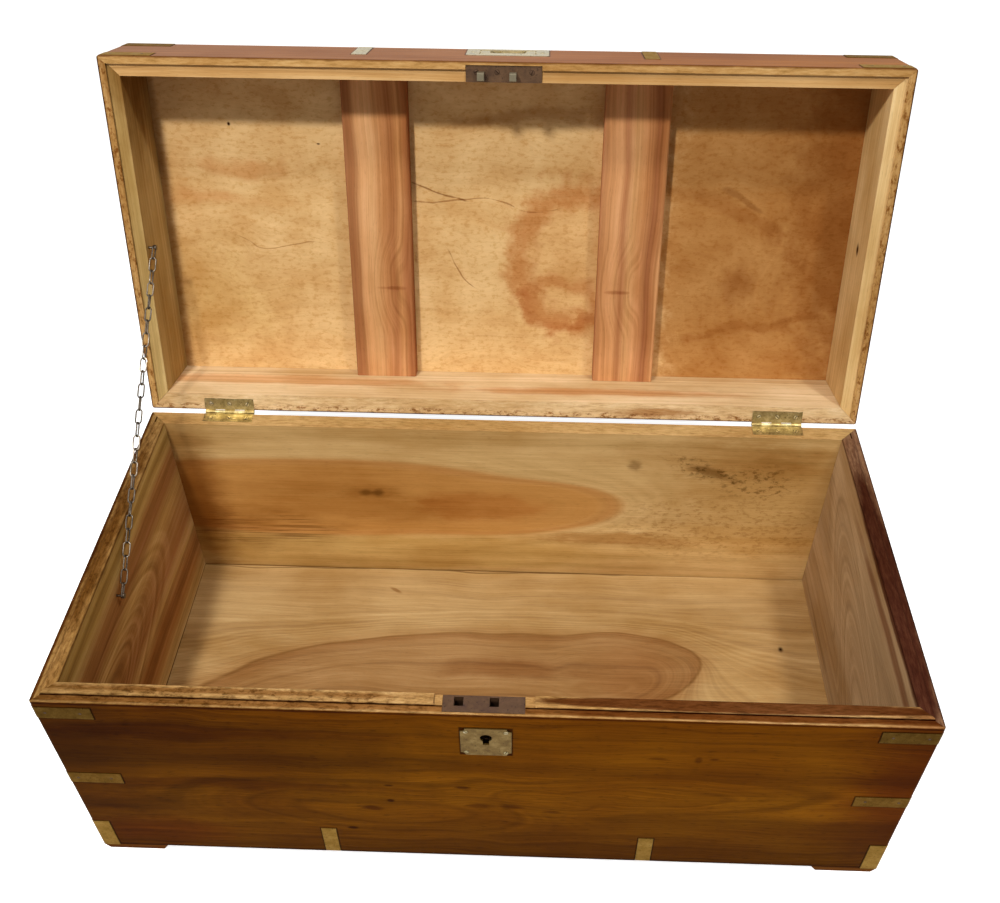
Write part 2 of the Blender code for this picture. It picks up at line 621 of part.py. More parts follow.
# the bolt: a bar on the guide, with a neck and a finger beside each staple hole; shot, the fingers pass
# through the eyes of the staples
plate_face = LID_BOTTOM + STAPLE_PLATE_SINK
eye_low = plate_face - STAPLE_REACH + STAPLE_BAR
finger_low = eye_low + GAP
finger_top = finger_low + BOLT_FINGER_HEIGHT
bar_top = -BOLT_BAR_TOP
bar_low = bar_top - BOLT_BAR_HEIGHT
outline = []
for place in STAPLE_PLACES:
    tip = place - STAPLE_WIDTH / 2 - GAP - GAP
    neck_right = tip - BOLT_TRAVEL
    neck_left = neck_right - BOLT_NECK
    outline += [(neck_left, bar_top), (neck_left, finger_top), (tip, finger_top), (tip, finger_low)]
    outline += [(neck_right, finger_low), (neck_right, bar_top)]
bar_start = outline[0][0]
bar_end = STAPLE_PLACES[-1] + STAPLE_WIDTH / 2
talon_left, talon_right = KEY_PLACE - BOLT_TALON / 2, KEY_PLACE + BOLT_TALON / 2
outline = [(bar_start, bar_low)] + outline[1:] + [
    (bar_end, bar_top), (bar_end, bar_low), (talon_right, bar_low), (talon_right, bar_low + BOLT_TALON),
    (talon_left, bar_low + BOLT_TALON), (talon_left, bar_low),
]
bolt_bm = prism(outline, STAPLE_DEPTH - BOLT_THICKNESS / 2, bolt_back, axis="Y")
finish("lock_bolt", bolt_bm, LOCK_IRON, side="front")


def scalloped_outline(half_width, half_height, scallop, x, z):
    points = []
    for a, b, start in ((1, -1, 180), (1, 1, 270), (-1, 1, 0), (-1, -1, 90)):
        centre = (x + a * half_width, z + b * half_height)
        points += arc(centre, scallop, start, start - 90, SCALLOP_STEPS)
    return points


half_w, half_h = PLATE_WIDTH / 2, PLATE_HEIGHT / 2
plate_in = PLATE_THICKNESS - PLATE_PROUD
plate_shape = scalloped_outline(half_w, half_h, PLATE_SCALLOP, KEY_PLACE, -PLATE_DROP)
plate_bm = prism(plate_shape, -PLATE_PROUD, plate_in, axis="Y")
escutcheon = finish("escutcheon", plate_bm, AGED_BRASS, side="front")
cut(escutcheon, front_cutter("plate_keyhole", keyhole_outline(), -OVERRUN, OVERRUN))
recess_shape = scalloped_outline(half_w + GAP, half_h + GAP, PLATE_SCALLOP, KEY_PLACE, -PLATE_DROP)
cut(boards["front"], front_cutter("plate_recess", recess_shape, -OVERRUN, plate_in + GAP))

# staple plate on the rim of the lid: the staples are loops that the bolt's fingers enter from the side
half_staple_plate = STAPLE_PLATE_LENGTH / 2
plate_outline = box_outline(-half_staple_plate, half_staple_plate, BOARD - STAPLE_PLATE_WIDTH, BOARD)
staple_plate = finish(
    "staple_plate", prism(plate_outline, plate_face, plate_face + STAPLE_PLATE_THICKNESS), LOCK_IRON,
    on_lid=True, side="front")
half_span = STAPLE_SPAN / 2
half_eye = half_span - STAPLE_BAR
for k, place in enumerate(STAPLE_PLACES):
    loop = [
        (STAPLE_DEPTH - half_span, plate_face + STAPLE_PLATE_THICKNESS / 2),
        (STAPLE_DEPTH - half_span, plate_face - STAPLE_REACH + STAPLE_BAR / 2),
        (STAPLE_DEPTH - half_span + STAPLE_BAR / 2, plate_face - STAPLE_REACH),
        (STAPLE_DEPTH + half_span - STAPLE_BAR / 2, plate_face - STAPLE_REACH),
        (STAPLE_DEPTH + half_span, plate_face - STAPLE_REACH + STAPLE_BAR / 2),
        (STAPLE_DEPTH + half_span, plate_face + STAPLE_PLATE_THICKNESS / 2),
    ]
    body = prism(loop, place - STAPLE_WIDTH / 2, place + STAPLE_WIDTH / 2, axis="X")
    body_object = finish(f"cut_staple_{k + 1}", body, None, on_lid=True, side="front")
    eye = box_outline(
        STAPLE_DEPTH - half_eye, STAPLE_DEPTH + half_eye, eye_low, plate_face - STAPLE_BAR / 4)
    half_pass = STAPLE_WIDTH / 2 + OVERRUN
    eye_object = front_cutter(
        f"staple_eye_{k + 1}", eye, place - half_pass, place + half_pass, axis="X", on_lid=True)
    cut(staple_plate, body_object, operation="UNION")
    cut(staple_plate, eye_object)
seat_half, seat_front = half_staple_plate + GAP, BOARD - STAPLE_PLATE_WIDTH - GAP
staple_seat = front_cutter(
    "staple_plate_seat", box_outline(-seat_half, seat_half, seat_front, BOARD + OVERRUN),
    LID_BOTTOM - OVERRUN, plate_face + STAPLE_PLATE_THICKNESS + GAP, axis="Z", on_lid=True)
cut(lid_boards["front"], staple_seat)


# Flush handles
def flush_handle(prefix, spec, side, on_lid, board):
    x, z = spec["place"], spec["rise"]
    half_w, half_h = spec["width"] / 2, spec["height"] / 2
    cup_w, cup_h, depth = spec["cup_width"] / 2, spec["cup_height"] / 2, spec["cup_depth"]
    tray_in = TRAY_THICKNESS - TRAY_PROUD
    tray_outline = box_outline(x - half_w, x + half_w, z - half_h, z + half_h, TRAY_CHAMFER)
    tray_bm = prism(tray_outline, -TRAY_PROUD, tray_in, axis="Y")
    tray = finish(
        f"{prefix}_plate", tray_bm, AGED_BRASS, on_lid=on_lid, side=side, smooth=math.radians(30))

    def cutter(part, bm):
        return finish(f"cut_{prefix}_{part}", bm, None, on_lid=on_lid, side=side)

    def cup_outline(wall):
        return rounded_outline(
            x - cup_w - wall, x + cup_w + wall, z - cup_h - wall, z + cup_h + wall, CUP_RADIUS + wall)

    shell = cutter("shell", prism(cup_outline(CUP_WALL), tray_in - TRAY_THICKNESS / 2, depth, axis="Y"))
    room = cutter("room", prism(cup_outline(0), -OVERRUN, depth - CUP_WALL, axis="Y"))
    thickness = spec["bail_thickness"]
    bail_front = BAIL_SETBACK - TRAY_PROUD
    axis_d = bail_front + thickness / 2
    axis_z = z + cup_h - thickness / 2 - BAIL_RADIUS / 2
    sockets = bmesh.new()
    reach = TRUNNION_LENGTH + GAP
    for sign in (-1, 1):
        inner, outer = sign * (cup_w - OVERRUN / 2), sign * (cup_w + reach - BAIL_CLEARANCE)
        low, high = sorted((x + inner, x + outer))
        add_rod(sockets, (axis_d, axis_z), TRUNNION_RADIUS + GAP, low, high, SCREW_SIDES)
    cut(tray, shell, operation="UNION")
    cut(tray, room, cutter("sockets", sockets))

    # the bail: two arms and a grip round one opening, with a trunnion on each arm
    out_w = cup_w - BAIL_CLEARANCE
    top = axis_z + thickness / 2 + BAIL_EASE
    low = z - cup_h + BAIL_CLEARANCE + BAIL_RADIUS / 2
    arm, grip = spec["arm"], spec["grip"]
    inner_w, inner_low = out_w - arm, low + grip
    corners = [
        (out_w - BAIL_SHOULDER, top - BAIL_SHOULDER, BAIL_SHOULDER, 0, 90),
        (inner_w - BAIL_RADIUS, inner_low + BAIL_RADIUS, BAIL_RADIUS, 0, -90),
        (BAIL_RADIUS - inner_w, inner_low + BAIL_RADIUS, BAIL_RADIUS, -90, -180),
        (BAIL_SHOULDER - out_w, top - BAIL_SHOULDER, BAIL_SHOULDER, 90, 180),
        (BAIL_RADIUS - out_w, low + BAIL_RADIUS, BAIL_RADIUS, 180, 270),
        (out_w - BAIL_RADIUS, low + BAIL_RADIUS, BAIL_RADIUS, 270, 360),
    ]
    bends = [arc((x + px, pz), radius, start, end, ARC_STEPS) for px, pz, radius, start, end in corners]
    outline = bends[0] + [(x + inner_w, top)] + bends[1] + bends[2] + [(x - inner_w, top)]
    outline += bends[3] + bends[4] + bends[5]
    bail = prism(outline, bail_front, bail_front + thickness, axis="Y")
    edges = [e for e in bail.edges if abs(e.verts[0].co.y - e.verts[1].co.y) < GAP / 10]
    bmesh.ops.bevel(bail, geom=edges, offset=BAIL_EASE, segments=1, profile=0.5, affect="EDGES", material=-1)
    origin = (x, axis_d, axis_z)
    bail_object = finish(
        f"{prefix}_bail", bail, AGED_BRASS, on_lid=on_lid, side=side, origin=origin, smooth=math.radians(40))
    trunnions = bmesh.new()
    for sign in (-1, 1):
        inner, outer = sign * (out_w - BAIL_RADIUS), sign * (out_w + TRUNNION_LENGTH)
        low_x, high_x = sorted((x + inner, x + outer))
        add_rod(trunnions, (axis_d, axis_z), TRUNNION_RADIUS, low_x, high_x, SCREW_SIDES)
    cut(bail_object, cutter("trunnions", trunnions), operation="UNION")

    # seats in the wood
    seat_w, seat_h = half_w + GAP, half_h + GAP
    tray_seat = box_outline(x - seat_w, x + seat_w, z - seat_h, z + seat_h, TRAY_CHAMFER)
    cut(board, cutter("plate_seat", prism(tray_seat, -OVERRUN, tray_in + GAP, axis="Y")))
    cut(board, cutter("cup_seat", prism(cup_outline(CUP_WALL + GAP), 0, depth + GAP, axis="Y")))


flush_handle("lid_pull", PULL, "front", True, lid_boards["front"])
for side in END:
    flush_handle(f"handle_{side}", HANDLE, side, False, boards[side])


# Stay chain: two runs of links, hung on round-headed screws in the left boards
def closed_to_open(y, z):
    # a point of the closed lid, turned open about the hinge axis
    c, s = math.cos(OPEN_ANGLE), math.sin(OPEN_ANGLE)
    dy, dz = y - HINGE_OUT, z - AXIS_Z
    return HINGE_OUT + c * dy + s * dz, AXIS_Z - s * dy + c * dz


chain_x = -HALF_WIDTH + BOARD + CHAIN_OFF_WALL
lid_eye_open = closed_to_open(*LID_EYE)
chain_length = math.dist(BASE_EYE, lid_eye_open)
chain_angle = math.atan2(lid_eye_open[1] - BASE_EYE[1], lid_eye_open[0] - BASE_EYE[0])
end_offset = SCREW_SHANK + SCREW_PLAY
inner_link = (
    chain_length - OPEN_PIVOT_GAP - 4 * CHAIN_WIRE - (LINK_COUNT - 2) * LINK_FUSE + 2 * end_offset
) / LINK_COUNT
link_pitch = inner_link + LINK_FUSE


def add_link(bm, centre, flat):
    # a stadium of round wire along X; flat lays it in the XY plane and otherwise it stands in the XZ plane
    bend = LINK_WIDTH / 2 - CHAIN_WIRE
    straight = inner_link / 2 + CHAIN_WIRE - bend
    path = arc((straight, 0), bend, -90, 90, LINK_ARC_STEPS)
    path += arc((-straight, 0), bend, 90, 270, LINK_ARC_STEPS)
    count = len(path)
    rings = []
    for i, (a, b) in enumerate(path):
        before, after = path[i - 1], path[(i + 1) % count]
        out = Vector((after[1] - before[1], before[0] - after[0], 0)).normalized()
        ring = []
        for k in range(LINK_SIDES):
            angle = 2 * math.pi * k / LINK_SIDES
            around = math.cos(angle) * out + Vector((0, 0, math.sin(angle)))
            point = Vector((a, b, 0)) + CHAIN_WIRE * around
            if not flat:
                point = Vector((point.x, -point.z, point.y))
            ring.append(bm.verts.new(point + centre))
        rings.append(ring)
    for i in range(count):
        this, following = rings[i], rings[(i + 1) % count]
        for k in range(LINK_SIDES):
            n = (k + 1) % LINK_SIDES
            bm.faces.new((this[k], this[n], following[n], following[k]))


def chain_run(name, count, on_lid, eye, direction):
    # links 1, 3, 5... lie in the plane that the run swings in, the others across it
    runs = []
    for first in (0, 1):
        bm = bmesh.new()
        for i in range(first, count, 2):
            add_link(bm, Vector((inner_link / 2 - end_offset + i * link_pitch, 0, 0)), flat=first == 0)
        # from the run's own axes to the trunk: X along the run, Y in the swinging plane, Z across it
        c, s = math.cos(direction), math.sin(direction)
        turn = Matrix(((0, 0, 1), (c, -s, 0), (s, c, 0)))
        bmesh.ops.transform(bm, matrix=turn.to_4x4(), verts=bm.verts)
        bmesh.ops.translate(bm, vec=(chain_x, *eye), verts=bm.verts)
        origin = (chain_x, *eye)
        if first == 0:
            run = finish(name, bm, CHAIN_STEEL, on_lid=on_lid, origin=origin, smooth=math.radians(60))
        else:
            across = finish(f"cut_{name}_across", bm, None, on_lid=on_lid, origin=origin)
            cut(run, across, operation="UNION")
    return run


def chain_screw(name, on_lid, eye, board):
    centre = eye
    wall_x = -HALF_WIDTH + BOARD
    head_x = chain_x + CHAIN_WIRE + GAP
    shank = bmesh.new()
    add_rod(shank, centre, SCREW_SHANK, wall_x - SCREW_HOLD, head_x + SCREW_HEAD_RISE / 2, SCREW_SIDES)
    screw = finish(name, shank, BRIGHT_BRASS, on_lid=on_lid, smooth=math.radians(40))
    head = bmesh.new()
    add_rod(head, centre, SCREW_HEAD, head_x, head_x + SCREW_HEAD_RISE, SCREW_SIDES, SCREW_HEAD_RISE / 3)
    head_object = finish(f"cut_{name}_head", head, None, on_lid=on_lid)
    cut(screw, head_object, operation="UNION")
    hole = bmesh.new()
    add_rod(hole, centre, SCREW_SHANK + GAP, wall_x - SCREW_HOLD - GAP, wall_x + OVERRUN, SCREW_SIDES)
    cut(board, finish(f"cut_{name}_hole", hole, None, on_lid=on_lid))


chain_screw("chain_screw_base", False, BASE_EYE, boards["left"])
chain_screw("chain_screw_lid", True, LID_EYE, lid_boards["left"])
chain_run("chain_lower", LOWER_LINKS, False, BASE_EYE, chain_angle)
chain_run("chain_upper", LINK_COUNT - LOWER_LINKS, True, LID_EYE, chain_angle + math.pi + OPEN_ANGLE)
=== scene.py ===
import json
import math

import bmesh
import bpy
from mathutils import Matrix, Vector


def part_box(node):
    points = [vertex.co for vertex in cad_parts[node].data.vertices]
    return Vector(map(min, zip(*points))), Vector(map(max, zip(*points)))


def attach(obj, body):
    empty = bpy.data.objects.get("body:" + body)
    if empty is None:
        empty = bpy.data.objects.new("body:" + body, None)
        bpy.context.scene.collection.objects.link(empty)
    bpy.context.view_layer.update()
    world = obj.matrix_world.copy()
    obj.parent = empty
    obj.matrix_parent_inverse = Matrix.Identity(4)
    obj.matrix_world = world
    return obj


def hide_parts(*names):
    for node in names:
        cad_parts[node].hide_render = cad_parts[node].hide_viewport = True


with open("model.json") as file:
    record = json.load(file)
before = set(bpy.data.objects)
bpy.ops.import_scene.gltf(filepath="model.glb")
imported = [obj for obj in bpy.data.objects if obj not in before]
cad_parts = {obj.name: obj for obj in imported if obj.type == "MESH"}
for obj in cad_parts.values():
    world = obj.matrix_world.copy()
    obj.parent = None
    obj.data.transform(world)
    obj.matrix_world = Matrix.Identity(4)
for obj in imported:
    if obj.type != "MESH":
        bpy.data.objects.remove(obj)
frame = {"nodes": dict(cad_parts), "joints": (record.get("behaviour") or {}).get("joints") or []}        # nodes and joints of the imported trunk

# Camphor wood trunk with its lid open: finishes, screws, chain, light and camera.
# Metres, +Z up, front towards -Y.

scene = bpy.context.scene
nodes = frame["nodes"]
joints = {joint["name"]: joint for joint in frame["joints"]}
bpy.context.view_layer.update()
print("trunk loaded with", len(nodes), "pieces")

# Places of the trunk, read from its frame
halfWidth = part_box("base_right_board")[1].x
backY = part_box("base_back_board")[1].y
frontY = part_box("base_front_board")[0].y
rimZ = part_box("base_back_board")[1].z
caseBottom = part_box("base_back_board")[0].z - rimZ
depth = backY - frontY
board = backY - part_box("bottom_board")[1].y
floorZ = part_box("bottom_board")[1].z - rimZ
hingeAxis = Vector(joints["lid_hinge"]["pos_m"])
openAngle = math.radians(joints["lid_hinge"]["range_deg"][1])
faceplates = ("escutcheon", "lid_pull_plate", "handle_left_plate", "handle_right_plate")
proudest = 0.002                                      # no inlay stands further out of its side
keyX, _, keyZ = (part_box("escutcheon")[0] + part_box("escutcheon")[1]) / 2 - Vector((0, 0, rimZ))

# Closed trunk to world: x from the middle, y from the back face, z from the rim of the base
rimBack = Vector((0, backY, rimZ))
basePlace = Matrix.Translation(rimBack)
lidTurn = Matrix.Rotation(-openAngle, 4, "X")
lidPlace = Matrix.Translation(hingeAxis) @ lidTurn @ Matrix.Translation(rimBack - hingeAxis)
sideTurns = {
    "front": (0, Vector((0, -depth, 0))),
    "right": (math.pi / 2, Vector((halfWidth, -depth / 2, 0))),
    "back": (math.pi, Vector((0, 0, 0))),
    "left": (-math.pi / 2, Vector((-halfWidth, -depth / 2, 0))),
}


def sidePlace(side, onLid=False):
    # own coordinates of a side: x along it, y inwards from its outer face, z up from the rim
    turn, middle = sideTurns[side]
    return (lidPlace if onLid else basePlace) @ Matrix.Translation(middle) @ Matrix.Rotation(turn, 4, "Z")


def pointsOf(name, place):
    # a piece's vertices in the coordinates of a place
    turn = place.inverted() @ nodes[name].matrix_world
    return [turn @ vert.co for vert in nodes[name].data.vertices]


def spanOf(points):
    # their lowest and highest corner
    return [Vector([pick(point[k] for point in points) for k in range(3)]) for pick in (min, max)]


def closedBox(name):
    # box of a piece of the lid when it is closed, from the rim of the base
    return spanOf(pointsOf(name, lidPlace))


def inlaysOn(side, onLid=False):
    # middle and half size of each strap and plate that stands proud of a side, in its own coordinates
    found = []
    for name in nodes:
        if name.startswith("lid") == onLid and ("strap" in name or name in faceplates):
            proud = [point for point in pointsOf(name, sidePlace(side, onLid)) if -proudest < point.y < 0]
            if proud:
                low, high = spanOf(proud)
                found.append(((low + high) / 2, (high - low) / 2))
    return found


panelLow, panelHigh = closedBox("lid_panel")
panelThickness = panelHigh.z - panelLow.z


# Shader helpers
def hexColour(code):
    # sRGB hex to the linear colour that a socket takes
    channels = []
    for k in (0, 2, 4):
        level = int(code[k:k + 2], 16) / 255
        channels.append(level / 12.92 if level <= 0.04045 else ((level + 0.055) / 1.055) ** 2.4)
    return (*channels, 1.0)


def setInputs(tree, node, values):
    # links the outputs among the values and sets the others
    for key, value in values.items():
        if isinstance(value, bpy.types.NodeSocket):
            tree.links.new(value, node.inputs[key])
        else:
            node.inputs[key].default_value = value


def addNode(tree, kind, links=None, out=0, stops=None, **settings):
    # adds a shader node with its settings and links, and returns one of its outputs
    node = tree.nodes.new("ShaderNode" + kind)
    for key, value in settings.items():
        setattr(node, key, value)
    setInputs(tree, node, links or {})
    if stops:
        ramp = node.color_ramp.elements
        while len(ramp) < len(stops):
            ramp.new(1)
        for element, (position, code) in zip(ramp, stops):
            element.position = position
            element.color = hexColour(code)
    return node.outputs[out]


def newMaterial(name):
    made = bpy.data.materials.new(name)
    made.use_nodes = True
    tree = made.node_tree
    coords = tree.nodes.new("ShaderNodeTexCoord").outputs["Object"]
    return made, tree, tree.nodes["Principled BSDF"], coords


def inPlace(tree, coords, place):
    # coordinates of a place, such as a board's own
    turn = {"Vector": coords, "Location": place.translation, "Rotation": place.to_euler("XYZ")}
    return addNode(tree, "Mapping", turn, vector_type="TEXTURE")


# Camphor wood, coloured in the board's own coordinates: x along the board, y inwards and z up it.
# The figure is a solid one, as in a real board: growth rings round a pith that lies beside the board,
# warped along the grain. An island lifts or lowers the rings locally, which draws a lens or a cathedral.
woodBasics = {
    "waves": (2.2, 9, 9),            # of the warp, per metre
    "warp": 0.009,                   # its reach in metres
    "pith": (-0.25, 0.30),           # y and z of the pith
    "islands": [],                   # closed rings, lifted over a shape of one or more ellipses
    "spacing": 0.0045,               # of the growth rings
    "figure": 0.7,                   # how much rings, streaks and fibres show
    "streaks": 0.6,
    "fibre": 0.4,
    "inside": ("9c7440", "b68c54", "c39c64"),
    "outside": None,                 # colours of the polished face, dark to light
    "skins": [(1, 0.0042, 1)],       # axis, limit and direction of the polished faces
    "rim": None,                     # colours of the worn rim
    "rimSkin": (2, -0.0004, -1),
    "bands": None,                   # broad bands of colour: axis, from, to, stops
    "bandsOutside": False,           # whether they show only on the polished face
    "stainsAndShade": [],                    # stains and marks of one face, with painted shade on some boards, bent with the grain
    "stained": (0, 0.03),            # y of that face, and how deep they go
    "wear": [],                      # dirt and wear along edges and rims, and painted shade in a keyhole; they stay straight
    "inlays": [],                    # straps and plates, each with a dark line round it: dirt, and painted shade at their edges
    "inlayDirtAndShade": 0.0013,             # reach of that line, and its tint
    "inlayTint": "5c4430",
    "clouds": ("e2d6c2", "ffffff"),  # slow changes of colour over the board
    "cloudSize": (5, 12, 12),
    "torn": (22, 55, 55),            # size of the uneven borders
    "streakSize": (1.6, 75, 75),     # all sizes in cells per metre
    "fibreSize": (9, 620, 620),
    "speckSize": (110, 190, 190),
    "wornSize": (60, 330, 330),
    "poreSize": (110, 900, 900),
    "pores": 0.12,
    "bare": 0.62,                    # roughness of bare wood, of the polish and of the rim
    "shine": 0.34,
    "wornShine": 0.6,
    "gloss": 0.006,
    "glossTint": "f0b468",           # light comes back amber from under the old polish
}
figurePlaces = (0.3, 0.5, 0.7)


def fractal(tree, where, size, detail, roughness, out=0, **settings):
    # fractal noise in stretched coordinates; size is in cells per metre
    stretched = addNode(tree, "VectorMath", {0: where, 1: size}, operation="MULTIPLY")
    links = {"Vector": stretched, "Scale": 1.0, "Detail": detail, "Roughness": roughness}
    return addNode(tree, "TexNoise", links, out, **settings)


def addWeighted(tree, start, parts):
    # start plus each part's distance from a half, times its weight
    total = start
    for part, weight in parts:
        offset = addNode(tree, "Math", {0: part, 1: weight, 2: -weight / 2}, operation="MULTIPLY_ADD")
        total = addNode(tree, "Math", {0: offset, 1: total}, operation="ADD")
    return total


def stainAndShade(x, z, along, wide, tint, **more):
    # a row of a board's stains and painted shade: middle, reaches, tint and how it lies
    return (x, z), (along, wide), tint, more


def sideMask(tree, own, axis, limit, way, soft=0.0003):
    # 1 on the side of a limit along one axis, with a soft edge
    parts = addNode(tree, "SeparateXYZ", {0: own}, "XYZ"[axis])
    return addNode(tree, "MapRange", {0: parts, 1: limit - way * soft, 2: limit + way * soft, 3: 1, 4: 0})


def multiplied(tree, colour, tint, amount=1.0):
    return addNode(
        tree, "Mix", {0: amount, 6: colour, 7: tint}, 2, data_type="RGBA", blend_type="MULTIPLY")


def blended(tree, below, above, mask):
    return addNode(tree, "Mix", {0: mask, 6: below, 7: above}, 2, data_type="RGBA")


def addTint(tree, colour, away, tint, amount=1.0, edge=0.5, line=False, through=None):
    # multiplies a tint where the distance is below 1, or only over a line where it is 1
    if line:
        away = addNode(tree, "Math", {0: away, 1: 1.0}, operation="SUBTRACT")
        away = addNode(tree, "Math", {0: away}, operation="ABSOLUTE")
    low, high = (0, edge) if line else (1 - edge, 1 + edge)
    fade = {0: away, 1: low, 2: high, 3: amount, 4: 0}
    mask = addNode(tree, "MapRange", fade, interpolation_type="SMOOTHSTEP")
    if through:
        mask = addNode(tree, "Math", {0: mask, 1: through}, operation="MULTIPLY")
    return multiplied(tree, colour, hexColour(tint), mask)


def addDistance(tree, where, shapes):
    # distance from a shape of joined ellipses, 1 on its border; each has a middle, reaches and a turn
    total = None
    for (x, z), (along, wide), turn in shapes:
        local = addNode(tree, "Mapping", {
            "Vector": where, "Location": (x, 0, z), "Rotation": (0, turn, 0), "Scale": (along, 1, wide),
        }, vector_type="TEXTURE")
        away = addNode(tree, "VectorMath", {0: local}, "Value", operation="LENGTH")
        if total is not None:
            away = addNode(tree, "Math", {0: total, 1: away, 2: 0.2}, operation="SMOOTH_MIN")
        total = away
    return total


def nearestInlay(tree, own, inlays):
    # distance along a face from the nearest of the rectangles let into it
    nearest = None
    for middle, half in inlays:
        offset = addNode(tree, "VectorMath", {0: own, 1: middle}, operation="SUBTRACT")
        offset = addNode(tree, "VectorMath", {0: offset}, operation="ABSOLUTE")
        offset = addNode(tree, "VectorMath", {0: offset, 1: (half.x, 1, half.z)}, operation="SUBTRACT")
        parts = addNode(tree, "SeparateXYZ", {0: offset}, "X")
        away = addNode(tree, "Math", {0: parts, 1: parts.node.outputs["Z"]}, operation="MAXIMUM")
        if nearest is not None:
            away = addNode(tree, "Math", {0: nearest, 1: away}, operation="MINIMUM")
        nearest = away
    return nearest


def addPatch(
    tree, colour, where, ragged, masks, at, reach, tint, turn=0.0, torn=1.0, through=None, **settings,
):
    # a tint over an uneven ellipsoid, whole or only through a finer mask
    local = addNode(tree, "Mapping", {
        "Vector": where, "Location": at, "Rotation": (0, turn, 0), "Scale": reach,
    }, vector_type="TEXTURE")
    away = addNode(tree, "VectorMath", {0: local}, "Value", operation="LENGTH")
    away = addWeighted(tree, away, [(ragged, torn)])
    return addTint(tree, colour, away, tint, through=masks.get(through), **settings)


def woodMaterial(name, place, **changes):
    look = {**woodBasics, **changes}
    made, tree, shader, coords = newMaterial(name)
    own = inPlace(tree, coords, place)

    # growth rings
    wave = fractal(tree, own, look["waves"], 2.5, 0.45, "Color")
    reach = Vector((0, 0, look["warp"]))
    shift = addNode(tree, "VectorMath", {0: wave, 1: reach * 2, 2: -reach}, operation="MULTIPLY_ADD")
    warped = addNode(tree, "VectorMath", {0: own, 1: shift}, operation="ADD")
    pith = {"Vector": warped, "Location": (0, *look["pith"])}
    ringed = addNode(tree, "Mapping", pith, vector_type="TEXTURE")
    across = addNode(tree, "VectorMath", {0: ringed, 1: (0, 1, 1)}, operation="MULTIPLY")
    radius = addNode(tree, "VectorMath", {0: across}, "Value", operation="LENGTH")
    islands = [(island, addDistance(tree, warped, island["shapes"])) for island in look["islands"]]
    for island, away in islands:
        slope = {0: away, 1: 0.4, 2: 1.7, 3: island["height"], 4: 0}
        lift = addNode(tree, "MapRange", slope, interpolation_type="SMOOTHSTEP")
        radius = addNode(tree, "Math", {0: radius, 1: lift}, operation="ADD")
    count = addNode(tree, "Math", {0: radius, 1: 1 / look["spacing"]}, operation="MULTIPLY")
    rings = {"W": count, "Scale": 1.0, "Detail": 2.0, "Roughness": 0.55}
    band = addNode(tree, "TexNoise", rings, noise_dimensions="1D")

    # streaks, fibres and pores
    streak = fractal(tree, warped, look["streakSize"], 4.0, 0.6)
    fibre = fractal(tree, warped, look["fibreSize"], 3.0, 0.6)
    pore = fractal(tree, warped, look["poreSize"], 1.0, 0.5)
    pore = addNode(tree, "MapRange", {0: pore, 1: 0.60, 2: 0.72, 3: 0, 4: look["pores"]})
    cloud = fractal(tree, own, look["cloudSize"], 4.0, 0.55)
    ragged = fractal(tree, own, look["torn"], 4.0, 0.6)
    speck = fractal(tree, own, look["speckSize"], 5.0, 0.7)
    masks = {
        "grain": addNode(tree, "MapRange", {0: fibre, 1: 0.44, 2: 0.60, 3: 0, 4: 1}),
        "specks": addNode(tree, "MapRange", {0: speck, 1: 0.50, 2: 0.62, 3: 0, 4: 1}),
    }
    tone = addWeighted(
        tree, 0.5, [(band, look["figure"]), (streak, look["streaks"]), (fibre, look["fibre"])])

    colour = addNode(tree, "ValToRGB", {0: tone}, stops=list(zip(figurePlaces, look["inside"])))
    if look["bands"]:
        axis, low, high, stops = look["bands"]
        parts = addNode(tree, "SeparateXYZ", {0: warped}, "XYZ"[axis])
        feathered = addWeighted(tree, parts, [(streak, (high - low) * 0.12)])
        share = addNode(tree, "MapRange", {0: feathered, 1: low, 2: high, 3: 0, 4: 1})
        broad = addNode(tree, "ValToRGB", {0: share}, stops=stops)
    rough = look["bare"]
    if look["outside"]:
        polished = addNode(tree, "ValToRGB", {0: tone}, stops=list(zip(figurePlaces, look["outside"])))
        skin = sideMask(tree, own, *look["skins"][0])
        for more in look["skins"][1:]:
            other = sideMask(tree, own, *more)
            skin = addNode(tree, "Math", {0: skin, 1: other}, operation="MAXIMUM")
        colour = blended(tree, colour, polished, skin)
        rough = addNode(tree, "MapRange", {0: skin, 1: 0, 2: 1, 3: look["bare"], 4: look["shine"]})
    if look["bands"]:
        colour = multiplied(tree, colour, broad, skin if look["bandsOutside"] else 1.0)
    if look["rim"]:
        rim = sideMask(tree, own, *look["rimSkin"], soft=0.0004)
        worn = fractal(tree, own, look["wornSize"], 6.0, 0.75)
        wear = addNode(tree, "ValToRGB", {0: worn}, stops=list(zip((0.3, 0.48, 0.68), look["rim"])))
        colour = blended(tree, colour, wear, rim)
        rough = addNode(tree, "Mix", {0: rim, 2: rough, 3: look["wornShine"]})
    for island, away in islands:
        for tint in island.get("tints", []):
            colour = addTint(tree, colour, away, **tint)
    faceY, deep = look["stained"]
    for (x, z), (along, wide), tint, more in look["stainsAndShade"]:
        at, reach = (x, faceY, z), (along, deep, wide)
        colour = addPatch(tree, colour, warped, ragged, masks, at, reach, tint, **more)
    for patch in look["wear"]:
        colour = addPatch(tree, colour, own, ragged, masks, **patch)
    # a dark line round each strap and plate: dirt, and painted shade at their edges
    if look["inlays"]:
        away = nearestInlay(tree, own, look["inlays"])
        away = addNode(tree, "Math", {0: away, 1: 1 / look["inlayDirtAndShade"]}, operation="MULTIPLY")
        colour = addTint(tree, colour, away, look["inlayTint"], amount=0.85, edge=0.85, through=skin)

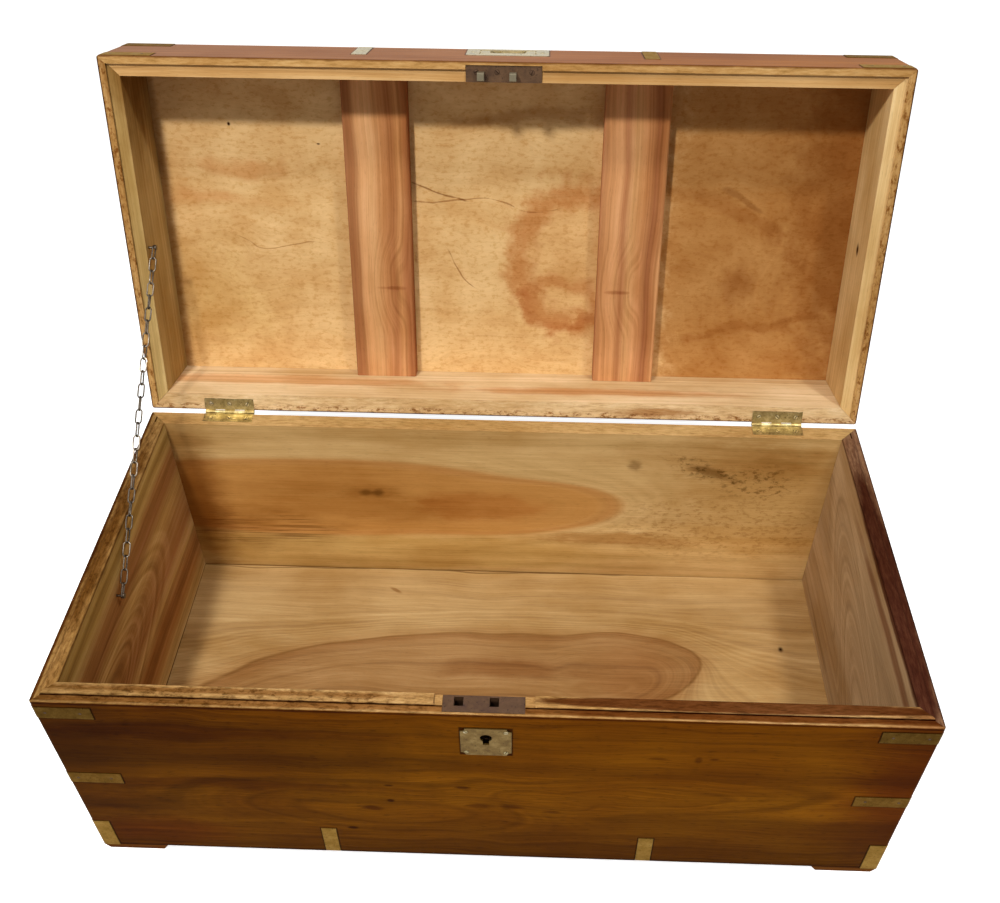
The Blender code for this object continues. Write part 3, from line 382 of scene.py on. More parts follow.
    # slow clouds of colour, and pores
    misty = addNode(tree, "ValToRGB", {0: cloud}, stops=list(zip((0.36, 0.62), look["clouds"])))
    colour = multiplied(tree, colour, misty)
    bright = addNode(tree, "Math", {0: 1.0, 1: pore}, operation="SUBTRACT")
    final = addNode(tree, "VectorMath", {0: colour, "Scale": bright}, operation="SCALE")
    height = addNode(tree, "Math", {0: fibre, 1: pore}, operation="SUBTRACT")
    setInputs(tree, shader, {
        "Base Color": final, "Roughness": rough, "IOR": 1.5, "Specular IOR Level": look["gloss"],
        "Specular Tint": hexColour(look["glossTint"]),
        "Normal": addNode(tree, "Bump", {"Height": height, "Strength": 0.25, "Distance": 0.0004}),
    })
    return made


def giveMaterial(node, made):
    nodes[node].data.materials.clear()
    nodes[node].data.materials.append(made)


def laidFlat(place, z):
    # own coordinates of a board that lies flat: y up from its underside and z towards the front
    return place @ Matrix.Translation((0, -depth / 2, z)) @ Matrix.Rotation(math.pi / 2, 4, "X")


# French polish over camphor: a deep amber that has darkened where hands and damp reached it
amber = ("603804", "744605", "885409")
wornRim = ("70522e", "a27e4e", "be9a68")
sideRim = ("5c4222", "866438", "a4824e")
lidRim = ("96703a", "bb8f56", "cda66e")
within = board                                            # depth of a board's inner face
everywhere = 2.0                                          # a reach longer than any board
lipFace = 0.0095                                          # where the ledge of a rim meets its lip
lipLine = dict(at=(0, lipFace, 0), reach=(everywhere, 0.0009, 0.0014), tint="5c4430", edge=0.6, torn=0.6)

boards = {}

# golden in the middle, redder at the ends and darker under the rim
boards["base_front_board"] = dict(
    place=sidePlace("front"), outside=amber, rim=wornRim, pith=(-0.40, -0.15), spacing=0.0055,
    figure=0.62, streaks=0.30, fibre=0.75, waves=(7, 16, 16), warp=0.016,
    pores=0.32, poreSize=(75, 480, 480),                  # coarse enough to show
    islands=[
        dict(shapes=[((-0.12, -0.19), (0.16, 0.040), 0.06)], height=0.022),
        dict(
            shapes=[((0.17, -0.15), (0.14, 0.026), -0.05), ((0.07, -0.16), (0.07, 0.02), 0.2)],
            height=0.018),
    ],
    bands=(2, caseBottom, 0, [
        (0, "c0b6aa"), (0.12, "d4cabc"), (0.38, "fffdfa"), (0.6, "f8f2e8"), (0.82, "e0d6c8"), (1, "ccbcaa"),
    ]),
    stainsAndShade=[
        # painted shade: these two darken the left end of the front, evening out the stronger light of the
        # key lamp there
        stainAndShade(-0.34, -0.09, 0.30, 0.10, "c8c4b4", edge=0.6),
        stainAndShade(-0.46, -0.10, 0.10, 0.14, "c8c0ac", edge=0.8),
        stainAndShade(-0.385, -0.262, 0.085, 0.030, "f0c8bc", amount=0.7, edge=0.5, torn=0.9),
        stainAndShade(0.46, -0.12, 0.07, 0.15, "c4a09c", amount=0.9, edge=0.7),
        stainAndShade(-0.32, -0.045, 0.20, 0.012, "c8b09c", amount=0.7),
        stainAndShade(-0.33, -0.150, 0.22, 0.010, "ccb8a4", amount=0.7),
        stainAndShade(0.18, -0.074, 0.010, 0.0020, "845c48", amount=0.5, torn=2.0),
        stainAndShade(0.222, -0.072, 0.0035, 0.0045, "845c48", amount=0.5, torn=1.0),
        stainAndShade(0.238, -0.071, 0.005, 0.0020, "845c48", amount=0.6, torn=1.0),
        stainAndShade(-0.105, -0.173, 0.004, 0.003, "6c4834", amount=0.8),
        stainAndShade(-0.127, -0.190, 0.010, 0.004, "8c6450", amount=0.7, torn=2.0),
        stainAndShade(-0.153, -0.237, 0.006, 0.003, "64402c", amount=0.8),
        stainAndShade(-0.105, -0.140, 0.005, 0.0025, "64402c", amount=0.7),
        stainAndShade(-0.025, -0.146, 0.008, 0.0030, "785440", amount=0.7, torn=2.0),
        stainAndShade(-0.008, -0.184, 0.016, 0.004, "8c6450", amount=0.6, torn=2.0),
        stainAndShade(0.03, -0.182, 0.012, 0.004, "986c54", amount=0.5, torn=2.0),
        stainAndShade(0.075, -0.186, 0.010, 0.003, "986c54", amount=0.5, torn=2.0),
        stainAndShade(-0.24, -0.215, 0.12, 0.010, "8c6450", amount=0.5, through="grain"),
    ],
    wear=[
        dict(at=(0, 0.0062, 0), reach=(everywhere, 0.0038, 0.002), tint="c8b098", edge=0.3, torn=1.2),
        lipLine,
        dict(at=(0.26, 0.0165, 0.0035), reach=(0.209, 0.0074, 0.0040), tint="8c6c5c", edge=0.12, torn=0.3),
        dict(at=(0.26, 0.0062, 0), reach=(0.21, 0.0042, 0.002), tint="b89c88", edge=0.3, torn=0.9),
        dict(at=(-0.26, 0.012, 0), reach=(0.26, 0.014, 0.006), tint="907858", amount=0.8, through="specks"),
        dict(at=(-0.26, 0.0165, 0.0035), reach=(0.22, 0.0030, 0.003), tint="b89c7c", amount=0.8, torn=2.5),
        dict(at=(0, 0, -0.0022), reach=(everywhere, 0.002, 0.0016), tint="9c8068", amount=0.8, edge=0.6),
        dict(at=(0, 0, caseBottom), reach=(everywhere, 0.01, 0.004), tint="8c7460", amount=0.8, edge=0.7),
        # painted shade: near black behind the keyhole of the escutcheon, for the dark depth of the hole
        dict(at=(keyX, 0.006, keyZ), reach=(0.016, 0.006, 0.020), tint="140c06", torn=0.2),
    ],
)
# greyish brown with a cathedral and a reddish dark streak by the rim
boards["base_right_board"] = dict(
    place=sidePlace("right"), outside=amber, rim=("54382a", "76543e", "967658"), pith=(-0.60, -0.10),
    spacing=0.0036, figure=0.45, streaks=0.22, fibre=0.45, waves=(5, 9, 9), warp=0.007,
    inside=("9c805c", "be9e74", "d8b88c"), stained=(within, 0.02),
    # painted light: these bands darken the front end of the wall and leave its rear, which lies in shade,
    # lighter
    bands=(0, -0.22, 0.22, [(0, "e2e2e2"), (0.45, "e6e6e6"), (1, "ffffff")]),
    islands=[dict(shapes=[((-0.19, -0.215), (0.27, 0.055), -0.42)], height=0.045)],
    stainsAndShade=[
        stainAndShade(-0.11, -0.026, 0.16, 0.008, "b08c80", amount=0.8, torn=0.8),
    ],
    wear=[
        dict(at=(-0.06, 0.014, 0.002), reach=(0.21, 0.016, 0.010), tint="8c6c68", edge=0.25, torn=0.6),
        lipLine,
        dict(at=(0, 0, 0), reach=(everywhere, 0.0016, 0.0016), tint="8c7058", edge=0.6, torn=1.5),
    ],
)
# tan with a lens of orange heartwood, a soft knot and grey mould at the right
boards["base_back_board"] = dict(
    place=sidePlace("back"), outside=amber, rim=("86683e", "b08c58", "c4a06c"), pith=(-0.50, -0.13),
    spacing=0.0035, figure=0.30, streaks=0.35, fibre=0.50, inside=("bb965b", "d2ab6f", "dfba80"),
    stained=(within, 0.02),
    # painted light: these bands keep the lowest part of the wall lighter than the rest, against the shade
    # that falls there behind the front board
    bands=(2, floorZ, 0, [(0, "ffffff"), (0.28, "ffffff"), (0.42, "e7e7e7"), (1, "e7e7e7")]),
    islands=[dict(
        shapes=[((0.25, -0.130), (0.32, 0.072), 0.0), ((0.02, -0.142), (0.175, 0.055), 0.05)], height=0.030,
        tints=[
            dict(tint="ecd0ac", edge=0.16),
            dict(tint="f2e2d2", edge=0.12, line=True),
        ],
    )],
    stainsAndShade=[
        stainAndShade(0.19, -0.150, 0.16, 0.022, "ece2d0", amount=0.8, torn=2.0),
        stainAndShade(0.03, -0.142, 0.085, 0.028, "ecd8c4", amount=0.8, edge=0.3),
        stainAndShade(0.184, -0.117, 0.008, 0.006, "8c7c54", amount=0.6, edge=0.7, torn=2.0),
        stainAndShade(0.168, -0.118, 0.006, 0.006, "7c6c48", amount=0.6, edge=0.7, torn=2.0),
        stainAndShade(0.185, -0.117, 0.040, 0.012, "c8b488", amount=0.6, edge=0.7, torn=2.0),
        stainAndShade(0.34, -0.20, 0.12, 0.036, "907858", amount=0.8, through="grain"),
        # by the left corner: dark wood, and a painted shadow of the left wall
        stainAndShade(0.42, -0.15, 0.035, 0.14, "a88c64", amount=0.9, edge=0.7),
        stainAndShade(0.20, -0.24, 0.36, 0.036, "f4f0d8", amount=0.8, edge=0.35, torn=0.8),
        stainAndShade(-0.262, -0.060, 0.045, 0.016, "8c8068", amount=0.7, through="specks", turn=-0.35),
        stainAndShade(-0.275, -0.064, 0.030, 0.007, "a4967c", amount=0.7, turn=-0.35, torn=2.5),
        stainAndShade(-0.340, -0.080, 0.050, 0.030, "988c70", amount=0.7, through="specks"),
        stainAndShade(-0.30, -0.040, 0.13, 0.030, "dccab0", amount=0.6, torn=1.5),
        stainAndShade(-0.36, -0.12, 0.11, 0.12, "e8dac0", amount=0.7, torn=1.5),
        stainAndShade(-0.30, -0.17, 0.15, 0.060, "bca688", amount=0.5, through="specks"),
        stainAndShade(-0.165, -0.20, 0.09, 0.012, "c8b090", amount=0.8, torn=2.0),
        stainAndShade(-0.175, -0.055, 0.010, 0.008, "988468", amount=0.6, torn=2.0),
        stainAndShade(0, floorZ, everywhere, 0.0020, "8c7458", amount=0.7, torn=0.6),
    ],
)
# long streaks, dark brown between light lines, and a cathedral that opens to the front
boards["base_left_board"] = dict(
    place=sidePlace("left"), outside=amber, rim=sideRim, pith=(-0.55, -0.12), spacing=0.0032, warp=0.008,
    stained=(within, 0.02),
    inside=("a88a5a", "cbae76", "e4ca98"), figure=0.60, streaks=0.50, fibre=0.50, waves=(4, 9, 9),
    islands=[dict(shapes=[((0.21, -0.135), (0.21, 0.050), 0.04)], height=0.036)],
    bands=(2, floorZ, 0, [
        (0, "fffaf0"), (0.08, "f8ecd8"), (0.14, "d4b49c"), (0.26, "c8a48c"), (0.33, "ecdcc4"),
        (0.42, "c09c84"), (0.56, "d0b49c"), (0.66, "ecdcc0"), (0.74, "b8947c"), (0.84, "c8a890"),
        (0.91, "e8e0c0"), (1, "dcd4b0"),
    ]),
    stainsAndShade=[
        stainAndShade(0.0, floorZ, everywhere, 0.0022, "80644c", amount=0.8, torn=0.6),
    ],
    wear=[
        dict(at=(0, lipFace, 0), reach=(everywhere, 0.0010, 0.0014), tint="5c4430", edge=0.6, torn=0.6),
        dict(at=(0, 0.0020, 0), reach=(everywhere, 0.0018, 0.004), tint="907050", edge=0.6, torn=1.5),
        dict(at=(-0.02, 0.012, 0.002), reach=(0.15, 0.010, 0.008), tint="a89070", amount=0.9, torn=1.8),
        dict(
            at=(0, 0.010, 0.002), reach=(everywhere, 0.012, 0.008), tint="a08868", amount=0.6,
            through="specks"),
    ],
)
# pale at the back, with a tongue of brown heartwood from the left and rings that hug its blunt end
boards["bottom_board"] = dict(
    place=laidFlat(basePlace, floorZ), pith=(-0.80, -0.30), spacing=0.0040, warp=0.013, figure=0.50,
    streaks=0.26, fibre=0.55, inside=("a48256", "bb9864", "cbaa76"), waves=(6, 12, 12), stained=(0, 0.05),
    islands=[dict(
        shapes=[((-0.09, 0.010), (0.315, 0.092), 0.10), ((0.150, -0.034), (0.124, 0.058), 0.10)],
        height=0.060,
        tints=[
            dict(tint="e2d4cc", edge=0.04),
            dict(tint="dcd4c8", edge=0.035, line=True),
            dict(tint="f0e6de", edge=0.22, line=True),
        ],
    )],
    stainsAndShade=[
        stainAndShade(0.010, -0.028, 0.090, 0.013, "dccabc", edge=0.6, torn=1.0),
        stainAndShade(0.185, -0.02, 0.06, 0.055, "e8d4c4", amount=0.8, edge=0.7),
        stainAndShade(0.33, -0.01, 0.045, 0.08, "fffaf0", amount=0.8),
        # painted shade: a darker band along the right wall, where its shadow falls on the floor
        stainAndShade(0.42, -0.05, 0.06, 0.12, "f4ece4", amount=0.6, torn=2.0),
        stainAndShade(0.385, -0.075, 0.003, 0.004, "4c3828", edge=0.8),
        stainAndShade(-0.15, -0.155, 0.009, 0.0025, "b89870", amount=0.7, turn=-0.5),
        stainAndShade(-0.05, -0.1972, 0.5, 0.0010, "8c7050", amount=0.7, torn=0.4),
    ],
)
# the frame of the lid: dirt along the outer edge of its rim
lidTop = closedBox("lid_front_board")[1].z
lidFrame = dict(
    outside=amber, skins=[(1, 0.0042, 1), (2, lidTop - 0.003, -1)], rim=lidRim, rimSkin=(2, 0.0012, 1),
    stained=(within, 0.02))
rimDirt = dict(at=(0, 0, 0.0012), reach=(everywhere, 0.0018, 0.0022), tint="74543a", edge=0.5, torn=1.4)
edgeDirt = dict(
    at=(0, 0, 0.0010), reach=(everywhere, 0.0018, 0.0016), tint="8c6c4c", amount=0.8, edge=0.6, torn=2.4)
rimSpecks = dict(at=(0, 0.006, 0.001), reach=(everywhere, 0.006, 0.003), tint="b09068", through="specks")
# painted sheen: the outside is a pale, pinkish polish that the bands turn deep amber only towards the right
# end, so the paler left half paints the reflection of the light there
boards["lid_front_board"] = dict(
    lidFrame, place=sidePlace("front", True), outside=("8c5a30", "a0683c", "b0764a"),
    inside=("a87c48", "c69a62", "d0a872"), gloss=0.03, glossTint="ffffff",
    bandsOutside=True, bands=(0, -halfWidth, halfWidth, [
        (0, "ececec"), (0.2, "ffffff"), (0.46, "ffffff"), (0.60, "fcf2dc"), (0.70, "f2dc88"), (1, "f2dc60"),
    ]),
    wear=[edgeDirt],
)
boards["lid_back_board"] = dict(
    lidFrame, place=sidePlace("back", True), rim=("b08c60", "d2b080", "e2c69c"),
    inside=("c6a272", "dcbe92", "e6caa0"), figure=0.6, streaks=0.6,
    stainsAndShade=[
        stainAndShade(-0.11, 0.03, 0.16, 0.010, "ecc8ac", amount=0.8, torn=1.5),
        stainAndShade(0.30, 0.05, 0.20, 0.014, "f0d0b4", amount=0.8, torn=1.5),
    ],
    wear=[
        rimDirt,
        dict(
            at=(0, 0.004, 0.001), reach=(everywhere, 0.005, 0.003), tint="a8845c", through="specks",
            torn=1.2),
        dict(at=(-0.20, 0.011, 0.001), reach=(0.05, 0.006, 0.003), tint="bc9870", amount=0.8, torn=2.0),
    ],
)
boards["lid_left_board"] = dict(
    lidFrame, place=sidePlace("left", True), inside=("9a7e4e", "b4965e", "c2a46e"), figure=0.5, streaks=0.5,
    # painted shadow: darker on the inner face near the front board, whose shadow falls there
    stainsAndShade=[stainAndShade(0.25, 0.05, 0.12, 0.10, "bca890", edge=0.5)],
    wear=[rimDirt, rimSpecks],
)
boards["lid_right_board"] = dict(
    lidFrame, place=sidePlace("right", True), inside=("c8a26c", "deba80", "eaca94"), figure=0.4, streaks=0.4,
    stainsAndShade=[stainAndShade(0.0, 0.04, 0.006, 0.004, "5c3c20", edge=0.8)],
    wear=[rimDirt, rimSpecks],
)
# sliced board with a cloudy figure: a wavy reddish stain in the middle and brown swirls on the right
boards["lid_panel"] = dict(
    place=laidFlat(lidPlace, panelLow.z), outside=amber, skins=[(1, panelThickness - 0.0007, -1)],
    pith=(-0.4, 0.5), waves=(6, 10, 10), warp=0.05, spacing=0.012, figure=0.26, streaks=0.0, fibre=0.30,
    inside=("cda36a", "dcb57d", "e8c28a"), clouds=("ece0d0", "ffffff"), cloudSize=(16, 20, 20), pores=0.05,
    torn=(42, 42, 42), stained=(0, 0.006),
    islands=[dict(shapes=[((0.42, -0.08), (0.20, 0.09), -0.7)], height=-0.14)],
    stainsAndShade=[
        stainAndShade(0.092, -0.034, 0.074, 0.090, "e6ccba", edge=0.40, line=True, torn=0.9),
        stainAndShade(0.070, -0.090, 0.045, 0.040, "ecd8cc", edge=0.40, line=True, torn=1.0),
        stainAndShade(0.110, -0.030, 0.09, 0.10, "f8ece0", amount=0.8, edge=0.5, torn=1.0),
        stainAndShade(-0.045, 0.026, 0.075, 0.0009, "a88460", amount=0.6, turn=-0.10, torn=5.0),
        stainAndShade(-0.090, 0.038, 0.035, 0.0014, "98704c", amount=0.7, turn=0.35, torn=4.0),
        stainAndShade(-0.053, -0.048, 0.024, 0.0008, "b08c68", amount=0.7, turn=0.65, torn=2.0),
        stainAndShade(-0.29, -0.020, 0.045, 0.0006, "c0a078", amount=0.7, turn=-0.16, torn=2.0),
        stainAndShade(-0.33, 0.085, 0.05, 0.012, "e0b890", amount=0.6, edge=0.7, torn=2.0),
        stainAndShade(-0.38, 0.03, 0.05, 0.012, "e4c0a0", amount=0.5, edge=0.7, torn=2.0),
        stainAndShade(-0.40, -0.10, 0.09, 0.06, "e0d4ac", amount=0.6, edge=0.8, torn=1.5),
        stainAndShade(0.335, 0.0, 0.155, 0.40, "c8aa86", amount=0.9, edge=0.25, torn=0.8),
        stainAndShade(0.43, 0.05, 0.07, 0.20, "d0b89c", amount=0.8, torn=1.5),
        stainAndShade(0.29, 0.03, 0.09, 0.012, "d4b898", amount=0.5, turn=0.5, torn=2.0),
        stainAndShade(0.30, 0.045, 0.030, 0.004, "b89c80", amount=0.5, turn=0.5, torn=2.0),
        stainAndShade(0.30, -0.06, 0.020, 0.030, "c4a484", amount=0.5, edge=0.8, torn=2.0),
        stainAndShade(0.33, -0.125, 0.12, 0.006, "dcc4a8", amount=0.5, turn=-0.15, torn=3.0),
        # a darker strip down the left edge, against the left board: dirt, and painted shade
        stainAndShade(-0.434, 0, 0.007, 0.3, "a48860", amount=0.7, edge=0.6, torn=1.5),
        stainAndShade(0, 0, everywhere, everywhere, "f0e6d6", through="specks"),
        stainAndShade(-0.341, 0.138, 0.0018, 0.0015, "402818", torn=0.2),
        stainAndShade(-0.232, 0.111, 0.0020, 0.0016, "503420", torn=0.2),
        stainAndShade(0.025, 0.150, 0.08, 0.012, "b8976c", amount=0.5, torn=2.0),
    ],
)
# salmon battens, each with a few broad brown stripes and a knot that bends the grain
battenStripes = {
    "left": [(0, "bca090"), (0.12, "c8ac9c"), (0.24, "fff4e8"), (0.42, "fffaf0"), (0.55, "f0dccc"),
             (0.70, "d8bcac"), (0.80, "f8e8d8"), (0.92, "d4b4a4"), (1, "c4a494")],
    "right": [(0, "d0b4a4"), (0.10, "f4e0d0"), (0.28, "fff0e4"), (0.38, "d8bcb0"), (0.50, "fff8ec"),
              (0.66, "f8e4d8"), (0.80, "c4a498"), (0.90, "dcc0b0"), (1, "fff4e8")],
}
for side, turn in (("left", 1), ("right", -1)):
    low, high = closedBox(f"lid_batten_{side}")
    half = (high.x - low.x) / 2
    boards[f"lid_batten_{side}"] = dict(
        place=lidPlace @ Matrix.Translation(((low.x + high.x) / 2, -depth / 2, low.z))
        @ Matrix.Rotation(math.pi / 2, 4, "Z") @ Matrix.Rotation(math.pi / 2, 4, "X"),
        pith=(-0.05, -0.30), spacing=0.005, inside=("be9062", "d2a272", "deae80"), warp=0.009,
        waves=(5, 9, 9), fibre=0.5, stained=(0, 0.05),
        islands=[dict(shapes=[((0.068, 0.008 * turn), (0.045, 0.020), 0.0)], height=0.016)],
        bands=(2, -half, half, battenStripes[side]),
        stainsAndShade=[
            stainAndShade(0.072, 0.010 * turn, 0.0025, 0.016, "b07c58", amount=0.5, torn=2.0),
        ],
    )
for side in sideTurns:
    boards[f"base_{side}_board"]["inlays"] = inlaysOn(side)
    boards[f"lid_{side}_board"]["inlays"] = inlaysOn(side, True)
for foot in ("front_left", "front_right", "rear_left", "rear_right"):
    boards[f"foot_{foot}"] = dict(place=basePlace, inside=("4c2a10", "6a3c18", "7c4c20"))
for node, look in boards.items():
    giveMaterial(node, woodMaterial("camphor_" + node, **look))
print("wood:", len(boards), "boards")


# Metals
# sizes in cells per metre
metalSizes = {"patina": (90, 90, 90), "pits": (420, 420, 420), "brushing": (500, 3000, 3000)}


def metalMaterial(name, places, codes, roughness, metallic=1.0, edge="ffffff", rubbed=None):
    made, tree, shader, coords = newMaterial(name)
    patina = fractal(tree, coords, metalSizes["patina"], 6.0, 0.65)
    tint = addNode(tree, "ValToRGB", {0: patina}, stops=list(zip(places, codes)))
    fine = fractal(tree, coords, metalSizes["pits"], 3.0, 0.6)
    pit = addNode(tree, "MapRange", {0: fine, 1: 0.60, 2: 0.70, 3: 0, 4: 0.8})
    tint = multiplied(tree, tint, hexColour("6a5438"), pit)
    if rubbed:
        place, limit, colour = rubbed
        proud = sideMask(tree, inPlace(tree, coords, place), 2, limit, 1, soft=0.0005)
        tint = blended(tree, tint, hexColour(colour), proud)
    dull = {0: patina, 1: 0.35, 2: 0.65, 3: roughness + 0.12, 4: roughness - 0.08}
    line = fractal(tree, coords, metalSizes["brushing"], 2.0, 0.5)
    setInputs(tree, shader, {
        "Base Color": tint, "Metallic": metallic, "Specular Tint": hexColour(edge),
        "Roughness": addNode(tree, "MapRange", dull),
        "Normal": addNode(tree, "Bump", {"Height": line, "Strength": 0.15, "Distance": 0.0001}),
    })
    return made


# where the three tints of a metal lie in its patina
sheet, cast, iron = (0.25, 0.5, 0.75), (0.32, 0.5, 0.68), (0.3, 0.5, 0.7)
# sheet brass of the straps, gone dull and brownish, darkest under the rims and rubbed clean at the foot
agedBrass = metalMaterial(
    "aged_sheet_brass", sheet, ("5c4218", "6e4e1e", "7e5e2a"), 0.5, edge="f2e2c8")
darkBrass = metalMaterial(
    "darkened_sheet_brass", sheet, ("483212", "5a4018", "6a5022"), 0.5, edge="f2e2c8")
rubbedBrass = metalMaterial(
    "rubbed_sheet_brass", sheet, ("806228", "927034", "a28244"), 0.45, edge="f2e2c8")
# thicker plate brass of the escutcheon and the handles, olive-grey and smoother
plateBrass = metalMaterial("olive_plate_brass", cast, ("664d24", "7e6330", "957c48"), 0.36)
# the pull of the lid and the strap beside it: paler brass, a painted highlight for the light they reflect on
# the left of the lid
highlightBrass = metalMaterial("plate_brass_painted_highlight", cast, ("c4b48c", "dccea8", "f0e6c4"), 0.3)
# cast and filed brass of the hinges, kept bright by handling
brightBrass = metalMaterial("bright_cast_brass", cast, ("8c7a50", "b4a476", "dccea8"), 0.36)
# the same, darker on the leaves of the lid: painted shade for their place in the shade of the lid, with some
# dirt
shadedBrass = metalMaterial("cast_brass_painted_shade", cast, ("7c683c", "a48f5c", "ccb884"), 0.42)
# screw heads of the hinges, rubbed paler than the leaves
paleBrass = metalMaterial("pale_brass_screws", cast, ("b4a474", "dccc9c", "f4ecd0"), 0.34)
# sheet iron with a brown skin of old rust and oil
brownIron = metalMaterial("browned_sheet_iron", iron, ("40291e", "4e3622", "5a3f2b"), 0.5, metallic=0.6)
# the same, rubbed to grey metal on the staples
stapleIron = metalMaterial(
    "browned_iron_with_rubbed_staples", iron, ("46301f", "593f28", "684b32"), 0.5, metallic=0.6,
    rubbed=(lidPlace, 0.0012, "746a54"))
# drawn steel wire of the chain
steelWire = metalMaterial("drawn_steel_wire", iron, ("342c24", "60574c", "867b6e"), 0.38)

# by the start of a piece's name, where a longer one comes later and counts
metalOf = {
    "strap": agedBrass, "strap_top": darkBrass, "strap_bottom": rubbedBrass, "strap_edge": rubbedBrass,
    "lid_strap": agedBrass, "lid_strap_rim": rubbedBrass, "lid_strap_edge": rubbedBrass,
    "lid_strap_edge_left": highlightBrass, "lid_pull": highlightBrass, "escutcheon": plateBrass, "handle": plateBrass,
    "hinge": brightBrass, "hinge_lid": shadedBrass, "lock": brownIron, "staple_plate": stapleIron,
    "chain": steelWire,
}
for name in nodes:
    for beginning, metal in metalOf.items():
        if name.startswith(beginning):
            giveMaterial(name, metal)
print("metals given")


# Screws and pins, cut slots and all. Each is modelled lying on z = 0 and put on its plate.
def ofKind(found, kind):
    return [item for item in found if isinstance(item, kind)]


def pieceFrom(bm, name, finishes, body):
    bmesh.ops.recalc_face_normals(bm, faces=bm.faces)
    mesh = bpy.data.meshes.new(name)
    bm.to_mesh(mesh)
    bm.free()
    mesh.shade_smooth()
    mesh.set_sharp_from_angle(angle=math.radians(35))
    for finish in finishes:
        mesh.materials.append(finish)
    piece = bpy.data.objects.new(name, mesh)
    scene.collection.objects.link(piece)
    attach(piece, body)
    return piece


screwShape = {
    "sides": 24,
    "turns": (0.5, 1.9),   # of the first slot, and from each screw to the next
    "bevel": 0.3,          # width of the domed edge, in radii
    "crown": 0.5,          # its height, and the slot's depth, in rises of the head
    "slotDepth": 1.1,
    "ring": (0.99, 1.16),  # the dark ring round the head, painted shade for the gap of its countersink: inner radius in radii, outer in inner ones
    "ringRise": 0.08,      # its height in rises, and the least of it in metres
    "ringLeast": 0.00002,
}


def addScrew(bm, place, radius, slotTurn, slotWidth, rise):
    # a slightly domed slotted head in its countersink; slotWidth 0 makes it a plain pin
    sides = screwShape["sides"]
    head = bmesh.new()
    bmesh.ops.create_circle(head, cap_ends=True, segments=sides, radius=radius)
    lifted = bmesh.ops.extrude_face_region(head, geom=head.faces[:])["geom"]
    bmesh.ops.translate(head, vec=(0, 0, rise), verts=ofKind(lifted, bmesh.types.BMVert))
    head.normal_update()
    crown = [f for f in head.faces if f.normal.z > 0.9 and f.calc_center_median().z > rise / 2]
    bmesh.ops.inset_region(
        head, faces=crown, thickness=radius * screwShape["bevel"], depth=rise * screwShape["crown"])
    if slotWidth:
        for side in (-1, 1):
            bmesh.ops.bisect_plane(
                head, geom=head.verts[:] + head.edges[:] + head.faces[:], dist=1e-7,
                plane_co=(0, side * slotWidth / 2, 0), plane_no=(0, 1, 0),
            )
        head.normal_update()
        slot = [f for f in head.faces if f.normal.z > 0.5 and abs(f.calc_center_median().y) < slotWidth / 2]
        sunk = bmesh.ops.extrude_face_region(head, geom=slot)["geom"]
        bmesh.ops.delete(head, geom=slot, context="FACES")
        sinking = (0, 0, -rise * screwShape["slotDepth"])
        bmesh.ops.translate(head, vec=sinking, verts=ofKind(sunk, bmesh.types.BMVert))
        for face in ofKind(sunk, bmesh.types.BMFace):
            face.material_index = 1
    # a flat dark ring round the head: painted shade for the gap of its countersink
    inner, outer = screwShape["ring"]
    ring = bmesh.ops.create_circle(head, cap_ends=False, segments=sides, radius=radius * inner)["verts"]
    ringEdges = {edge for vert in ring for edge in vert.link_edges}
    grown = bmesh.ops.extrude_edge_only(head, edges=list(ringEdges))["geom"]
    outerVerts = ofKind(grown, bmesh.types.BMVert)
    bmesh.ops.scale(head, vec=(outer, outer, 1), verts=outerVerts)
    ringZ = max(rise * screwShape["ringRise"], screwShape["ringLeast"])
    bmesh.ops.translate(head, vec=(0, 0, ringZ), verts=ring + outerVerts)
    for face in ofKind(grown, bmesh.types.BMFace):
        face.material_index = 1
    bmesh.ops.transform(head, matrix=place @ Matrix.Rotation(slotTurn, 4, "Z"), verts=head.verts)
    loose = bpy.data.meshes.new("screw")
    head.to_mesh(loose)
    head.free()
    bm.from_mesh(loose)
    bpy.data.meshes.remove(loose)


# nearly black, matt: dirt and wax packed into the slots, and painted shade in the ring round each head
dirtAndPaintedShade, tree, shader, _ = newMaterial("packed_dirt_and_painted_shade")
setInputs(tree, shader, {"Base Color": hexColour("2a1d12"), "Roughness": 0.9, "Specular IOR Level": 0.1})

outwards = Matrix.Rotation(math.pi / 2, 4, "X")      # a screw's axis turned to face out of a side


def screwSet(name, places, radius, made, body, slotWidth=0.0009, rise=0.0003):
    bm = bmesh.new()
    first, further = screwShape["turns"]
    for k, place in enumerate(places):
        addScrew(bm, place, radius, first + further * k, slotWidth, rise)
    return pieceFrom(bm, name, [made, dirtAndPaintedShade], body)


def onSide(side, x, d, z, onLid=False):
    return sidePlace(side, onLid) @ Matrix.Translation((x, d, z)) @ outwards


overRim = Matrix.Rotation(math.pi, 4, "X")           # turned to face down, out of the rim of the lid
hinge = {"pitch": 0.0235, "inset": 0.0085, "lidFace": 0.0008, "radius": 0.0026, "rise": 0.0002}
for side in ("left", "right"):
    low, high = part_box(f"hinge_pin_{side}")
    row = [(low.x + high.x) / 2 + k * hinge["pitch"] for k in (-1, 0, 1)]
    onBase = [basePlace @ Matrix.Translation((x, -hinge["inset"], 0)) for x in row]
    onLid = [lidPlace @ Matrix.Translation((x, -hinge["inset"], hinge["lidFace"])) @ overRim for x in row]
    for body, places in (("base", onBase), ("lid", onLid)):
        screwSet(
            f"screws_hinge_{body}_{side}", places, hinge["radius"], paleBrass, body,
            rise=hinge["rise"])

